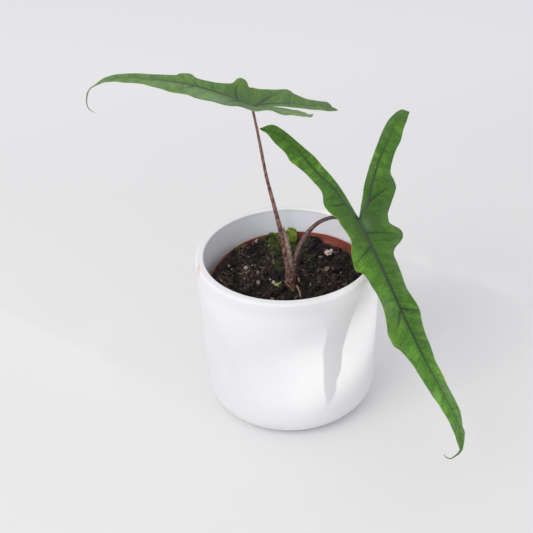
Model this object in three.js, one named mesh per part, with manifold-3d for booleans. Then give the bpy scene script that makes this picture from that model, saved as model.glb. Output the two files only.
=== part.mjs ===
// A young narrow-leaved alocasia in its plastic nursery pot, standing in a white ceramic cover pot.
// Millimetres, +Z up. The origin is the centre of the cover pot's underside, where it stands.
// The pot is looked at from -Y: one leaf points to the left (-X), the other hangs to the front right.
import * as THREE from "three";
import { mergeVertices } from "three/addons/utils/BufferGeometryUtils.js";
import Module from "manifold-3d";

// Driving dimensions
const GAP = 0.3; // between pieces that touch
const COVER = { height: 130, rimRadius: 70, footRadius: 67.3, corner: 17.5, wall: 5.5, edge: 2, floor: 6 };
const COVER_INNER_CORNER = 12;
const NURSERY = { height: 106, rimRadius: 60, band: 9, baseRadius: 43, wall: 1.2, rimWall: 1.6 };
const NURSERY_CENTRE = [2.2, -2.4];
const NURSERY_BEVEL = 2; // at the foot, outside and inside
const LIP_BEVEL = 0.7; // at the nursery pot's rim
const DRAIN = { count: 6, radius: 4, circle: 29 };
const SOIL_MIDDLE = 104; // height of the soil at the pot's axis
const SOIL_SLOPE = { right: -0.11, back: 0.085 }; // rise for each millimetre that way
const SOIL_HIGHEST = 111.2; // just under the nursery pot's rim
const SOIL_RINGS = [1, 0.94, 0.86, 0.76, 0.66, 0.56, 0.46, 0.36, 0.26, 0.15, 0]; // shares of its radius
const STEM = { x: 3.4, y: -8, foot: 96, hole: 5.4, holeBottom: 58 };
const CORM = { radius: 5, bottom: 60 };
const ROOT = { count: 7, radius: 1.2, tip: 0.6, reach: 30, deepest: 18, shallowest: 32 };
const BLADE_THICKNESS = 0.8;
const RIB_DEPTH = 1.2; // how far the main veins stand out under a blade
const FULL_WAVE = 20; // how far from its rib a blade waves fully
const PERLITE = { count: 16, smallest: 1, largest: 2.2 };
const BARK = { count: 26, length: 6, width: 2.6, thickness: 1.6, tilt: 0.15 };
const GRAIN_FIELD = 50; // radius that the grains lie in
const GRAIN_CLEAR = { stem: 12, moss: 5 };

// Facets
const POT_SIDES = 52;
const NURSERY_SIDES = 48;
const SOIL_SIDES = 44;
const ROOT_FACETS = [6, 6]; // sides, steps
const CORM_FACETS = [10, 6];
const UPPER_STALK_FACETS = [10, 24];
const LOWER_STALK_FACETS = [8, 26];
const SHEATH_FACETS = [8, 8];
const UPPER_BLADE_FACETS = [38, 14, 4]; // rows on the blade, rows on a lobe, columns from rib to margin
const LOWER_BLADE_FACETS = [46, 18, 4];

// Colours
const WHITE_GLAZE = 0xeceded;
const TERRACOTTA = 0x9a4a2f;
const PEAT = 0x2a1d16;
const MOSS_GREEN = 0x5f8f24;
const CORM_BROWN = 0x8a6a4a;
const STALK_RED = 0x7a4a40;
const LEAF_GREEN = 0x3f7d2c;

// The two leaves. A leaf is drawn flat first: a is the way from the top of the stalk towards the tip,
// v is the way to the side. Its posture then bends that drawing into space.
// axis rows: a, x, y, z. roll rows: a, turn about the axis. lift and droop rows: a, +v half, -v half.
const LOWER_LEAF = {
  axis: [
    [-110, 28, 62, 240], [-83, 37, 51, 216], [-57, 43.5, 35, 190], [-26, 49, 14, 171],
    [0, 53, -8, 160], [25.5, 59.5, -31, 151.5], [51, 67, -53, 141], [81.5, 76, -78, 126],
    [117, 88.5, -103, 104.5], [146, 101, -119, 83], [168, 109.5, -128, 65.5], [178, 111.5, -131, 56],
    [187, 114, -133, 47], [191.5, 112.6, -134, 43.5], [195.5, 110, -134, 40.3],
    [200.5, 106, -133.5, 37.7], [204, 102.7, -133, 38.8], [207, 100.8, -132.5, 41],
  ],
  roll: [[-110, -8], [-60, -5], [0, 0], [80, -6], [160, -12], [207, -12]],
  lift: [[-110, 6, 6], [0, 10, 10], [207, 12, 12]],
  droop: [[-110, 0.002, 0.002], [207, 0.006, 0.006]],
  wave: { height: 1.1, length: 33, shift: 1.4 },
  midrib: [[0, 0], [207, 0]],
  plus: {
    margin: [
      [6, 21], [12, 20.4], [18.5, 26.5], [24.3, 26.2], [29, 22], [33, 16.2], [38, 12.7], [46, 12.1],
      [54, 12], [67, 10.8], [80, 12.9], [86, 13], [92, 11.3], [101, 9.5], [111, 8.5], [122, 7.2],
      [133, 6.6], [141, 5.9], [152, 6.4], [161, 6.2], [172, 4], [180, 2.8], [187, 1.3], [195, 1], [207, 0],
    ],
    lobeRib: [
      [0, 0], [-5.4, 5], [-14.4, 11.3], [-25.7, 15.8], [-39, 23.2], [-48.8, 29], [-57.2, 36.3],
      [-64.3, 43.6], [-69.3, 49.5], [-72.6, 57], [-74, 67],
    ],
    lobeOuter: [
      [6, 21], [0.5, 22.6], [-9.5, 27.5], [-18.8, 32.6], [-23.7, 35.1], [-29.7, 35.3], [-36.3, 35],
      [-43.7, 38], [-52.8, 44], [-59.5, 50.5], [-66, 55.8], [-71, 62.2], [-74, 67],
    ],
    lobeInner: [
      [-2.2, 0.7], [-19.4, 7.6], [-30.5, 12], [-45, 20], [-56, 27.2], [-63.5, 34], [-69, 40.6],
      [-73.5, 49], [-76, 59.6], [-74, 67],
    ],
  },
  minus: {
    margin: [
      [3, -15.7], [9, -13.7], [14.5, -13], [20, -13.3], [30.5, -17.9], [37, -19.8], [44.5, -20],
      [46.8, -16.2], [51, -14.5], [64.5, -13.4], [72, -12.4], [79, -13.1], [88.5, -16], [98, -17.5],
      [103, -18.1], [107, -15.1], [113, -12.5], [121, -10.6], [130, -10.3], [138, -9.7], [147, -7.9],
      [157, -6.9], [167, -6.2], [175, -4.8], [182, -3], [187, -1.4], [195, -1], [207, 0],
    ],
    lobeRib: [
      [0, 0], [-10.3, -4.4], [-17.8, -8.2], [-30, -12.8], [-41.3, -19], [-51.5, -24.2], [-61.3, -29.8],
      [-68, -34.2], [-76, -40.5], [-85, -47.5], [-94, -57],
    ],
    lobeOuter: [
      [3, -15.7], [-1.6, -16.4], [-6.5, -19.6], [-16, -22.8], [-27, -22.6], [-36.6, -26], [-48.7, -31],
      [-55.3, -36.2], [-60.6, -41], [-66.5, -43.2], [-75, -48.6], [-86.3, -52.8], [-91.5, -56], [-94, -57],
    ],
    lobeInner: [
      [-2.2, 0.7], [-15.4, -2.7], [-28.6, -6.4], [-39.2, -10.1], [-48.3, -14.3], [-59.7, -21],
      [-67.7, -28], [-79.3, -37], [-90, -43.8], [-93.6, -48.5], [-94, -57],
    ],
  },
};

const UPPER_LEAF = {
  axis: [
    [-56, 30, -16.3, 246], [-35, 11, -8.4, 247.5], [-17.5, -5, -2.5, 248.5],
    [0, -21, 4.5, 248], [12, -31.5, 5.5, 253], [25.5, -44, 7, 258], [39, -56.5, 8.5, 262],
    [52, -69, 9.5, 265.5], [71, -88, 7.5, 270], [86, -102.5, 5.5, 272.5], [102.5, -119, 3.5, 272],
    [112, -127.5, 2.5, 268], [116.5, -131.2, 2.5, 265.4], [120.5, -133.8, 2, 262.4],
    [124.4, -134.9, 2, 258.7], [128, -134.6, 2, 255], [131.5, -133, 2, 251.9], [135, -130.2, 2, 249.7],
  ],
  roll: [[-56, 35], [-20, 21], [25, -10], [80, 3], [135, 3]],
  lift: [[-56, 15, -4], [0, 30, 10], [60, 0, 18], [135, 0, 18]],
  droop: [[-56, 0.01, -0.005], [0, 0.037, -0.019], [60, 0.016, 0.003], [135, 0, 0]],
  wave: { height: 0.5, length: 22, shift: 1.4 },
  midrib: [[0, 0], [135, 0]],
  plus: {
    margin: [
      [2, 10.5], [6, 9], [10, 9.4], [18, 11.5], [24, 12.3], [28, 10.8], [33, 9.6], [40, 9], [46, 9.4],
      [54, 10.4], [60, 10.2], [66, 8.8], [74, 7.6], [82, 6.2], [90, 4.8], [97, 3.6], [105, 2.2],
      [112, 1.3], [120, 1], [135, 0],
    ],
    lobeRib: [
      [0, 0], [-7, 4], [-17, 9.5], [-27, 12.5], [-36, 18.3], [-46, 25.6], [-52.6, 32.2], [-57.5, 41.5],
    ],
    lobeOuter: [
      [2, 10.5], [-1.3, 11], [-4.7, 13], [-11.4, 15], [-18.8, 15.5], [-24.8, 17.5], [-32.8, 20.6],
      [-37.5, 24], [-44, 29], [-50, 33], [-55, 37.5], [-57.5, 41.5],
    ],
    lobeInner: [
      [-1.8, 0], [-10.4, 1.7], [-19.4, 4.2], [-26.5, 6.7], [-32.5, 9.4], [-40, 14], [-45.6, 19],
      [-51, 26], [-55, 33], [-57.5, 41.5],
    ],
  },
  minus: {
    margin: [
      [4, -14], [7.5, -14], [11, -17], [15, -16.5], [18, -12], [21.5, -9.8], [28, -7.8], [34, -6.9],
      [43, -7], [47.5, -9.4], [53.5, -8.6], [56, -6.6], [67, -5.6], [82, -5.1], [95, -4.5], [105, -2.8],
      [112, -1.3], [120, -1], [135, 0],
    ],
    lobeRib: [[0, 0], [-8, -6.5], [-16, -10], [-24, -15], [-31, -20], [-38, -27], [-44.5, -36], [-50, -46]],
    lobeOuter: [
      [4, -14], [0, -15.8], [-8, -19.4], [-17, -23], [-24, -23.6], [-33, -28], [-39, -34],
      [-44.5, -40.5], [-50, -46],
    ],
    lobeInner: [
      [-1.8, 0], [-10, -4.2], [-20, -7.5], [-31, -13.5], [-39.5, -21.5], [-46, -31], [-49.5, -39.5],
      [-50, -46],
    ],
  },
};

// Stalks: rows of x, y, z, radius, from the foot to the blade
const UPPER_STALK = [
  [3.4, -8, 96.3, 3.4], [3.1, -8, 101, 4.1], [1.9, -7.6, 107, 4.6], [0.7, -7, 113, 4.6],
  [-1.2, -6, 124, 3.6], [-2.6, -5.3, 134.6, 2.6], [-5.4, -3.7, 154.8, 1.9], [-9.2, -2, 174.7, 1.5],
  [-13.2, -0.2, 194.8, 1.35], [-15.9, 1.4, 213.2, 1.25], [-18.2, 2.9, 229.9, 1.15], [-21, 4.5, 247.2, 1.1],
];
const UPPER_SHEATH = [
  [-2.8, -3.5, 153.5, 0.9], [-0.9, -4.2, 143, 1.5], [0.8, -5, 133, 1.8], [2.2, -5.8, 122, 1.9],
  [2.6, -6.6, 112, 1.5],
];
const LOWER_STALK = [
  [3.6, -7.6, 106, 1.6], [4.4, -7.2, 114.5, 2.1], [5.6, -6.5, 124, 2.3], [7.2, -5.6, 130.2, 2.3],
  [10.7, -3.8, 138.5, 2.1], [16.2, -1.8, 147.2, 1.75], [23.2, 0.3, 153.2, 1.45], [31, 1.3, 156.4, 1.35],
  [38, 0, 157.8, 1.35], [45.5, -4.2, 158.3, 1.4], [53, -8, 159, 1.4],
];

// Moss cushions on the soil at the pot's back wall: x, y, half width, half depth, height
const MOSS = [
  ["moss_cushion_back", 4.7, 49.8, 4.8, 4.6, 8.5],
  ["moss_cushion_left", -10.4, 49.3, 4.6, 4.4, 4.5],
];

const MOSS_RISE = 0.25; // share of its height that a cushion's middle stands above the soil

const UP = new THREE.Vector3(0, 0, 1);
const wasm = await Module();
wasm.setup();

// A closed geometry as a solid that can be joined and cut
function solid(geometry) {
  const bare = new THREE.BufferGeometry();
  bare.setAttribute("position", geometry.getAttribute("position").clone());
  if (geometry.index) bare.setIndex(geometry.index.clone());
  const merged = mergeVertices(bare, 1e-3);
  const mesh = new wasm.Mesh({
    numProp: 3,
    vertProperties: new Float32Array(merged.attributes.position.array),
    triVerts: new Uint32Array(merged.index.array),
  });
  return new wasm.Manifold(mesh);
}

// The biggest body of a solid, without the scraps that a cut leaves
function biggest(cut) {
  const bodies = cut.decompose();
  return bodies.reduce((best, body) => (body.volume() > best.volume() ? body : best));
}

function joined(solids) {
  return solids.reduce((whole, next) => whole.add(next));
}

function piece(name, made, color, roughness) {
  const mesh = made.getMesh();
  const geometry = new THREE.BufferGeometry();
  geometry.setAttribute("position", new THREE.BufferAttribute(mesh.vertProperties, 3));
  geometry.setIndex(new THREE.BufferAttribute(mesh.triVerts, 1));
  geometry.computeVertexNormals();
  const material = new THREE.MeshStandardMaterial({ color, roughness, metalness: 0 });
  const shown = new THREE.Mesh(geometry, material);
  shown.name = name;
  return shown;
}

// A repeatable series of draws between 0 and 1
function drawsFrom(seed) {
  let state = seed;
  return () => {
    state = (state * 1664525 + 1013904223) % 4294967296;
    return state / 4294967296;
  };
}

// Rows of [place, value, ...] read as a smooth curve at one place
function slopeAt(rows, i, k) {
  const before = rows[Math.max(i - 1, 0)];
  const after = rows[Math.min(i + 1, rows.length - 1)];
  return (after[k] - before[k]) / (after[0] - before[0]);
}

function readRows(rows, place) {
  const x = THREE.MathUtils.clamp(place, rows[0][0], rows[rows.length - 1][0]);
  let i = 0;
  while (i < rows.length - 2 && x > rows[i + 1][0]) i += 1;
  const span = rows[i + 1][0] - rows[i][0];
  const t = (x - rows[i][0]) / span;
  const values = [];
  for (let k = 1; k < rows[0].length; k += 1) {
    const between = rows[i][k] * (2 * t ** 3 - 3 * t ** 2 + 1) + rows[i + 1][k] * (3 * t ** 2 - 2 * t ** 3);
    const leaving = slopeAt(rows, i, k) * (t ** 3 - 2 * t ** 2 + t);
    const arriving = slopeAt(rows, i + 1, k) * (t ** 3 - t ** 2);
    values.push(between + span * (leaving + arriving));
  }
  return values;
}

// A round bar of changing thickness along a line of points, closed at both ends.
// grow makes the same bar thicker and longer, for the hole that it lies in.
function taperedBar(rows, [sides, steps], grow = 0) {
  const curve = new THREE.CatmullRomCurve3(rows.map((row) => new THREE.Vector3(row[0], row[1], row[2])));
  const radii = rows.map((row, i) => [i / (rows.length - 1), row[3]]);
  const profile = [new THREE.Vector2(0, 0)];
  for (let i = 0; i <= steps; i += 1) {
    profile.push(new THREE.Vector2(readRows(radii, i / steps)[0] + grow, i / steps));
  }
  profile.push(new THREE.Vector2(0, 1));
  const rings = [];
  const normal = new THREE.Vector3(0.3, 1, 0.2);
  for (let i = 0; i <= steps; i += 1) {
    const tangent = curve.getTangent(i / steps);
    normal.addScaledVector(tangent, -normal.dot(tangent)).normalize();
    const side = new THREE.Vector3().crossVectors(tangent, normal);
    const reach = i === 0 ? -grow : i === steps ? grow : 0;
    const centre = curve.getPoint(i / steps).addScaledVector(tangent, reach);
    rings.push({ centre, normal: normal.clone(), side });
  }
  const geometry = new THREE.LatheGeometry(profile, sides);
  const position = geometry.getAttribute("position");
  const point = new THREE.Vector3();
  for (let i = 0; i < position.count; i += 1) {
    const ring = rings[Math.round(position.getY(i) * steps)];
    point.copy(ring.centre);
    point.addScaledVector(ring.normal, position.getX(i));
    point.addScaledVector(ring.side, -position.getZ(i));
    position.setXYZ(i, point.x, point.y, point.z);
  }
  return solid(geometry);
}

// A turned body that stands upright: points are [radius, height]
function turned(points, segments, x = 0, y = 0, z = 0) {
  const profile = points.map((p) => new THREE.Vector2(p[0], p[1]));
  const geometry = new THREE.LatheGeometry(profile, segments);
  geometry.rotateX(Math.PI / 2);
  geometry.translate(x, y, z);
  return geometry;
}

// Points of a quarter circle about [r, z], from one angle to another in quarter turns
function quarter(r, z, radius, from, to, steps) {
  const points = [];
  for (let i = 0; i <= steps; i += 1) {
    const angle = (Math.PI / 2) * (from + ((to - from) * i) / steps);
    points.push([r + radius * Math.cos(angle), z + radius * Math.sin(angle)]);
  }
  return points;
}

function coverPot() {
  const { height, rimRadius, footRadius, corner, wall, edge, floor } = COVER;
  const inner = COVER_INNER_CORNER;
  const lip = wall - edge;
  const points = [
    [0, 0],
    ...quarter(footRadius - corner, corner, corner, -1, 0, 5),
    ...quarter(rimRadius - edge, height - edge, edge, 0, 1, 3),
    ...quarter(rimRadius - wall + lip, height - lip, lip, 1, 2, 3),
    ...quarter(footRadius - wall - inner, floor + inner, inner, 0, -1, 4),
    [0, floor],
  ];
  return solid(turned(points, POT_SIDES));
}

// Inside radius of the nursery pot at a height above the pot's own underside
function nurseryInside(height) {
  const top = NURSERY.rimRadius - NURSERY.rimWall;
  const bottom = NURSERY.baseRadius - NURSERY.wall;
  return bottom + ((top - bottom) * height) / NURSERY.height;
}

function nurseryPot() {
  const { height, rimRadius, band, baseRadius, wall } = NURSERY;
  const [x, y] = NURSERY_CENTRE;
  const z = COVER.floor + GAP;
  const points = [
    [0, 0],
    [baseRadius - NURSERY_BEVEL, 0],
    [baseRadius, NURSERY_BEVEL],
    [nurseryInside(height - band) + wall, height - band],
    [rimRadius - LIP_BEVEL, height - band],
    [rimRadius, height - LIP_BEVEL],
    [rimRadius - LIP_BEVEL, height],
    [nurseryInside(height), height],
    [nurseryInside(wall + NURSERY_BEVEL), wall + NURSERY_BEVEL],
    [nurseryInside(0) - NURSERY_BEVEL, wall],
    [0, wall],
  ];
  let pot = solid(turned(points, NURSERY_SIDES, x, y, z));
  for (let i = 0; i < DRAIN.count; i += 1) {
    const angle = (i / DRAIN.count) * 2 * Math.PI;
    const drill = new THREE.CylinderGeometry(DRAIN.radius, DRAIN.radius, wall * 4, 10);
    drill.rotateX(Math.PI / 2);
    drill.translate(x + DRAIN.circle * Math.cos(angle), y + DRAIN.circle * Math.sin(angle), z);
    pot = pot.subtract(solid(drill));
  }
  return pot;
}

// Height of the soil, loose and lumpy, higher at the back and left, with a hollow round the stem
function soilHeight(x, y) {
  const lumps =
    1.3 * Math.sin(0.31 * x + 1.3) * Math.cos(0.27 * y) +
    0.8 * Math.sin(0.55 * x - 0.4 * y + 0.7) +
    0.5 * Math.sin(0.5 * x + 0.9 * y);
  const hollow = 2 * Math.exp(-((x - STEM.x) ** 2 + (y - STEM.y) ** 2) / 200);
  return Math.min(SOIL_MIDDLE + SOIL_SLOPE.right * x + SOIL_SLOPE.back * y + lumps - hollow, SOIL_HIGHEST);
}

function soilBody() {
  const [cx, cy] = NURSERY_CENTRE;
  const base = COVER.floor + GAP;
  const bottom = base + NURSERY.wall + GAP;
  const edge = nurseryInside(SOIL_MIDDLE - base) - GAP;
  const points = [
    [0, bottom],
    [nurseryInside(0) - NURSERY_BEVEL - GAP, bottom],
    [nurseryInside(NURSERY.wall + NURSERY_BEVEL) - GAP, bottom + NURSERY_BEVEL],
    ...SOIL_RINGS.map((share) => [share * edge, SOIL_MIDDLE]),
  ];
  const geometry = turned(points, SOIL_SIDES, cx, cy);
  const position = geometry.getAttribute("position");
  for (let i = 0; i < position.count; i += 1) {
    if (position.getZ(i) < SOIL_MIDDLE - 1) continue;
    const height = soilHeight(position.getX(i), position.getY(i));
    const stretch = (nurseryInside(height - base) - GAP) / edge;
    position.setX(i, cx + (position.getX(i) - cx) * stretch);
    position.setY(i, cy + (position.getY(i) - cy) * stretch);
    position.setZ(i, height);
  }
  return solid(geometry);
}

// Grains of perlite and chips of bark, sunk into the soil clear of the stem and the moss
function soilGrains() {
  const draw = drawsFrom(41);
  const grains = [];
  const [cx, cy] = NURSERY_CENTRE;
  while (grains.length < PERLITE.count + BARK.count) {
    const reach = GRAIN_FIELD * Math.sqrt(draw());
    const angle = 2 * Math.PI * draw();
    const x = cx + reach * Math.cos(angle);
    const y = cy + reach * Math.sin(angle);
    const size = draw();
    const turns = [draw() * 3, draw() * 3, draw() * 3];
    const nearStem = Math.hypot(x - STEM.x, y - STEM.y) < GRAIN_CLEAR.stem;
    const nearMoss = MOSS.some((moss) => Math.hypot(x - moss[1], y - moss[2]) < moss[3] + GRAIN_CLEAR.moss);
    if (nearStem || nearMoss) continue;
    let grain;
    if (grains.length < PERLITE.count) {
      const radius = PERLITE.smallest + (PERLITE.largest - PERLITE.smallest) * size ** 2;
      grain = new THREE.IcosahedronGeometry(radius, 0);
    } else {
      const scale = 0.5 + 0.5 * size;
      grain = new THREE.BoxGeometry(BARK.length * scale, BARK.width * scale, BARK.thickness * scale);
      turns[0] *= BARK.tilt;
      turns[1] *= BARK.tilt;
    }
    grain.rotateX(turns[0]);
    grain.rotateY(turns[1]);
    grain.rotateZ(turns[2]);
    grain.translate(x, y, soilHeight(x, y));
    grains.push(solid(grain));
  }
  return grains;
}

// Roots run out and down from the corm, evenly round it with a small draw each
function rootRows() {
  const draw = drawsFrom(7);
  const roots = [];
  for (let i = 0; i < ROOT.count; i += 1) {
    const angle = (2 * Math.PI * (i + 0.5 * draw())) / ROOT.count;
    const start = CORM.bottom + 6 + 20 * draw();
    const reach = ROOT.reach * (0.7 + 0.3 * draw());
    const depth = ROOT.deepest + (ROOT.shallowest - ROOT.deepest) * draw();
    const along = (share, fall, radius) => [
      STEM.x + share * reach * Math.cos(angle + 0.5 * share),
      STEM.y + share * reach * Math.sin(angle + 0.5 * share),
      start - fall * (start - depth),
      radius,
    ];
    roots.push([
      along(0.05, 0, ROOT.radius),
      along(0.45, 0.12, ROOT.radius * 0.9),
      along(0.8, 0.5, ROOT.radius * 0.75),
      along(1, 1, ROOT.tip),
    ]);
  }
  return roots;
}

function cormAndRoots() {
  const { x, y, foot } = STEM;
  const corm = [
    [x, y, CORM.bottom, CORM.radius * 0.5],
    [x, y, CORM.bottom + 9, CORM.radius * 0.95],
    [x, y, CORM.bottom + 20, CORM.radius],
    [x, y, foot, CORM.radius * 0.85],
  ];
  const roots = rootRows().map((rows) => taperedBar(rows, ROOT_FACETS));
  return joined([taperedBar(corm, CORM_FACETS), ...roots]);
}

function soil() {
  const { x, y, hole, holeBottom } = STEM;
  const tall = COVER.height - holeBottom;
  const pocket = new THREE.CylinderGeometry(hole, hole, tall, 12);
  pocket.rotateX(Math.PI / 2);
  pocket.translate(x, y, holeBottom + tall / 2);
  const channels = rootRows().map((rows) => taperedBar(rows, ROOT_FACETS, GAP));
  const ground = joined([soilBody(), ...soilGrains()]);
  return biggest(ground.subtract(joined([solid(pocket), ...channels])));
}

// A low bumpy cushion of moss that lies on the soil
function mossCushion(ground, x, y, width, depth, height) {
  const geometry = new THREE.SphereGeometry(1, 14, 8);
  geometry.rotateX(Math.PI / 2);
  const position = geometry.getAttribute("position");
  for (let i = 0; i < position.count; i += 1) {
    const [px, py, pz] = [position.getX(i), position.getY(i), position.getZ(i)];
    const bump = 1 + 0.07 * Math.sin(px * 7 + 0.6) * Math.cos(py * 8) + 0.04 * Math.sin(pz * 9 + px);
    position.setXYZ(i, px * width * bump, py * depth * bump, pz * height * bump);
  }
  geometry.translate(x, y, soilHeight(x, y) + MOSS_RISE * height);
  return biggest(solid(geometry).subtract(ground.translate([0, 0, GAP])));
}

// Frames along a leaf's axis, one for each millimetre of a, carried along it without twisting
function axisFrames(leaf) {
  const first = Math.floor(leaf.axis[0][0]);
  const last = Math.ceil(leaf.axis[leaf.axis.length - 1][0]);
  const frames = [];
  for (let a = first; a <= last; a += 1) {
    const middle = THREE.MathUtils.clamp(a, leaf.axis[0][0] + 0.5, last - 0.5);
    const ahead = new THREE.Vector3(...readRows(leaf.axis, middle + 0.5));
    const behind = new THREE.Vector3(...readRows(leaf.axis, middle - 0.5));
    frames.push({ along: ahead.sub(behind).normalize(), across: new THREE.Vector3() });
  }
  const start = -first;
  frames[start].across.crossVectors(UP, frames[start].along).normalize();
  const carry = (from, to) => {
    to.across.copy(from.across).addScaledVector(to.along, -from.across.dot(to.along)).normalize();
  };
  for (let i = start + 1; i < frames.length; i += 1) carry(frames[i - 1], frames[i]);
  for (let i = start - 1; i >= 0; i -= 1) carry(frames[i + 1], frames[i]);
  return { first, frames };
}

// Where the point (a, v) of the flat drawing lies in space
function leafPoint(leaf, framing, a, v) {
  const place = THREE.MathUtils.clamp(a - framing.first, 0, framing.frames.length - 1.001);
  const i = Math.floor(place);
  const along = framing.frames[i].along.clone().lerp(framing.frames[i + 1].along, place - i).normalize();
  const across = framing.frames[i].across.clone().lerp(framing.frames[i + 1].across, place - i);
  across.addScaledVector(along, -across.dot(along)).normalize();
  across.applyAxisAngle(along, THREE.MathUtils.degToRad(readRows(leaf.roll, a)[0]));
  const out = new THREE.Vector3().crossVectors(along, across);
  const half = v >= 0 ? 0 : 1;
  const lift = THREE.MathUtils.degToRad(readRows(leaf.lift, a)[half]);
  const droop = readRows(leaf.droop, a)[half];
  const { height, length, shift } = leaf.wave;
  const reached = Math.min(Math.abs(v) / FULL_WAVE, 1) ** 2;
  const wave = reached * height * Math.sin((2 * Math.PI * a) / length + half * shift);
  const point = new THREE.Vector3(...readRows(leaf.axis, a));
  point.addScaledVector(across, v * Math.cos(lift));
  point.addScaledVector(out, Math.abs(v) * Math.sin(lift) - droop * v * v + wave);
  return point;
}

// Rows of [share, a, v] along a drawn line: by a alone on the main blade, by length on a lobe
function shares(points, byLength) {
  const lengths = [0];
  for (let i = 1; i < points.length; i += 1) {
    const da = points[i][0] - points[i - 1][0];
    const dv = points[i][1] - points[i - 1][1];
    lengths.push(lengths[i - 1] + (byLength ? Math.hypot(da, dv) : Math.abs(da)));
  }
  return points.map((point, i) => [lengths[i] / lengths[points.length - 1], ...point]);
}

// The six patches of a leaf, each spanned between a rib and a margin
function patches(leaf, mainRows, lobeRows) {
  const list = [];
  for (const half of [leaf.plus, leaf.minus]) {
    list.push({ rib: shares(leaf.midrib, false), margin: shares(half.margin, false), rows: mainRows });
    list.push({ rib: shares(half.lobeRib, true), margin: shares(half.lobeOuter, true), rows: lobeRows });
    list.push({ rib: shares(half.lobeRib, true), margin: shares(half.lobeInner, true), rows: lobeRows });
  }
  return list;
}

// The blade's upper face, drawn flat: points and triangles that turn anticlockwise
function flatBlade(leaf, mainRows, lobeRows, columns) {
  const points = [];
  const known = new Map();
  const triangles = [];
  const pointAt = (a, v, rib) => {
    const key = Math.round(a * 1000) + " " + Math.round(v * 1000);
    if (!known.has(key)) {
      known.set(key, points.length);
      points.push({ a, v, rib: 0 });
    }
    const index = known.get(key);
    points[index].rib = Math.max(points[index].rib, rib);
    return index;
  };
  const addTriangle = (i, j, k) => {
    if (i === j || j === k || k === i) return;
    const [p, q, r] = [points[i], points[j], points[k]];
    const turn = (q.a - p.a) * (r.v - p.v) - (q.v - p.v) * (r.a - p.a);
    triangles.push(turn > 0 ? [i, j, k] : [i, k, j]);
  };
  for (const patch of patches(leaf, mainRows, lobeRows)) {
    const grid = [];
    for (let row = 0; row <= patch.rows; row += 1) {
      const share = row / patch.rows;
      const [ribA, ribV] = readRows(patch.rib, share);
      const [marginA, marginV] = readRows(patch.margin, share);
      const line = [];
      for (let column = 0; column <= columns; column += 1) {
        const t = column / columns;
        const depth = column === 0 ? 1 - share : 0;
        line.push(pointAt(ribA + (marginA - ribA) * t, ribV + (marginV - ribV) * t, depth));
      }
      grid.push(line);
    }
    for (let row = 0; row < patch.rows; row += 1) {
      for (let column = 0; column < columns; column += 1) {
        const [a, b] = [grid[row][column], grid[row + 1][column]];
        const [c, d] = [grid[row + 1][column + 1], grid[row][column + 1]];
        addTriangle(a, b, c);
        addTriangle(a, c, d);
      }
    }
  }
  return { points, triangles };
}

// A blade: the bent upper face, the same face again below it, and the edge between them
function blade(leaf, [mainRows, lobeRows, columns]) {
  const { points, triangles } = flatBlade(leaf, mainRows, lobeRows, columns);
  const framing = axisFrames(leaf);
  const top = points.map((point) => leafPoint(leaf, framing, point.a, point.v));
  const normals = points.map(() => new THREE.Vector3());
  const edges = new Map();
  for (const [i, j, k] of triangles) {
    const face = new THREE.Vector3().crossVectors(top[j].clone().sub(top[i]), top[k].clone().sub(top[i]));
    for (const corner of [i, j, k]) normals[corner].add(face);
    for (const [from, to] of [[i, j], [j, k], [k, i]]) edges.set(from + " " + to, [from, to]);
  }
  const below = top.map((point, i) => {
    const depth = BLADE_THICKNESS + RIB_DEPTH * Math.sqrt(points[i].rib);
    return point.clone().addScaledVector(normals[i].normalize(), -depth);
  });
  const count = top.length;
  const faces = [];
  for (const [i, j, k] of triangles) {
    faces.push(i, j, k);
    faces.push(count + i, count + k, count + j);
  }
  for (const [from, to] of edges.values()) {
    if (edges.has(to + " " + from)) continue;
    faces.push(to, from, count + from);
    faces.push(to, count + from, count + to);
  }
  const geometry = new THREE.BufferGeometry().setFromPoints([...top, ...below]);
  geometry.setIndex(faces);
  return solid(geometry);
}

// A stalk's end cut to the blade's underside, a gap below it
function cutToBlade(stalk, leafBlade) {
  return biggest(stalk.subtract(leafBlade).subtract(leafBlade.translate([0, 0, -1.2 * GAP])));
}

const lowerBlade = blade(LOWER_LEAF, LOWER_BLADE_FACETS);
const upperBlade = blade(UPPER_LEAF, UPPER_BLADE_FACETS);
const lowerStalk = cutToBlade(taperedBar(LOWER_STALK, LOWER_STALK_FACETS), lowerBlade);
const lowerStalkSeat = taperedBar(LOWER_STALK, LOWER_STALK_FACETS, GAP);
const sheathedStalk = joined([
  taperedBar(UPPER_STALK, UPPER_STALK_FACETS),
  taperedBar(UPPER_SHEATH, SHEATH_FACETS),
]);
const upperStalk = cutToBlade(sheathedStalk.subtract(lowerStalkSeat), upperBlade);
const ground = soil();

const plant = new THREE.Group();
plant.add(piece("cover_pot", coverPot(), WHITE_GLAZE, 0.45));
plant.add(piece("nursery_pot", nurseryPot(), TERRACOTTA, 0.55));
plant.add(piece("soil", ground, PEAT, 0.95));
plant.add(piece("corm_and_roots", cormAndRoots(), CORM_BROWN, 0.8));
for (const [name, x, y, width, depth, height] of MOSS) {
  plant.add(piece(name, mossCushion(ground, x, y, width, depth, height), MOSS_GREEN, 0.9));
}
plant.add(piece("upper_leaf_stalk", upperStalk, STALK_RED, 0.55));
plant.add(piece("lower_leaf_stalk", lowerStalk, STALK_RED, 0.55));
plant.add(piece("upper_leaf_blade", upperBlade, LEAF_GREEN, 0.5));
plant.add(piece("lower_leaf_blade", lowerBlade, LEAF_GREEN, 0.5));

export default plant;
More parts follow.
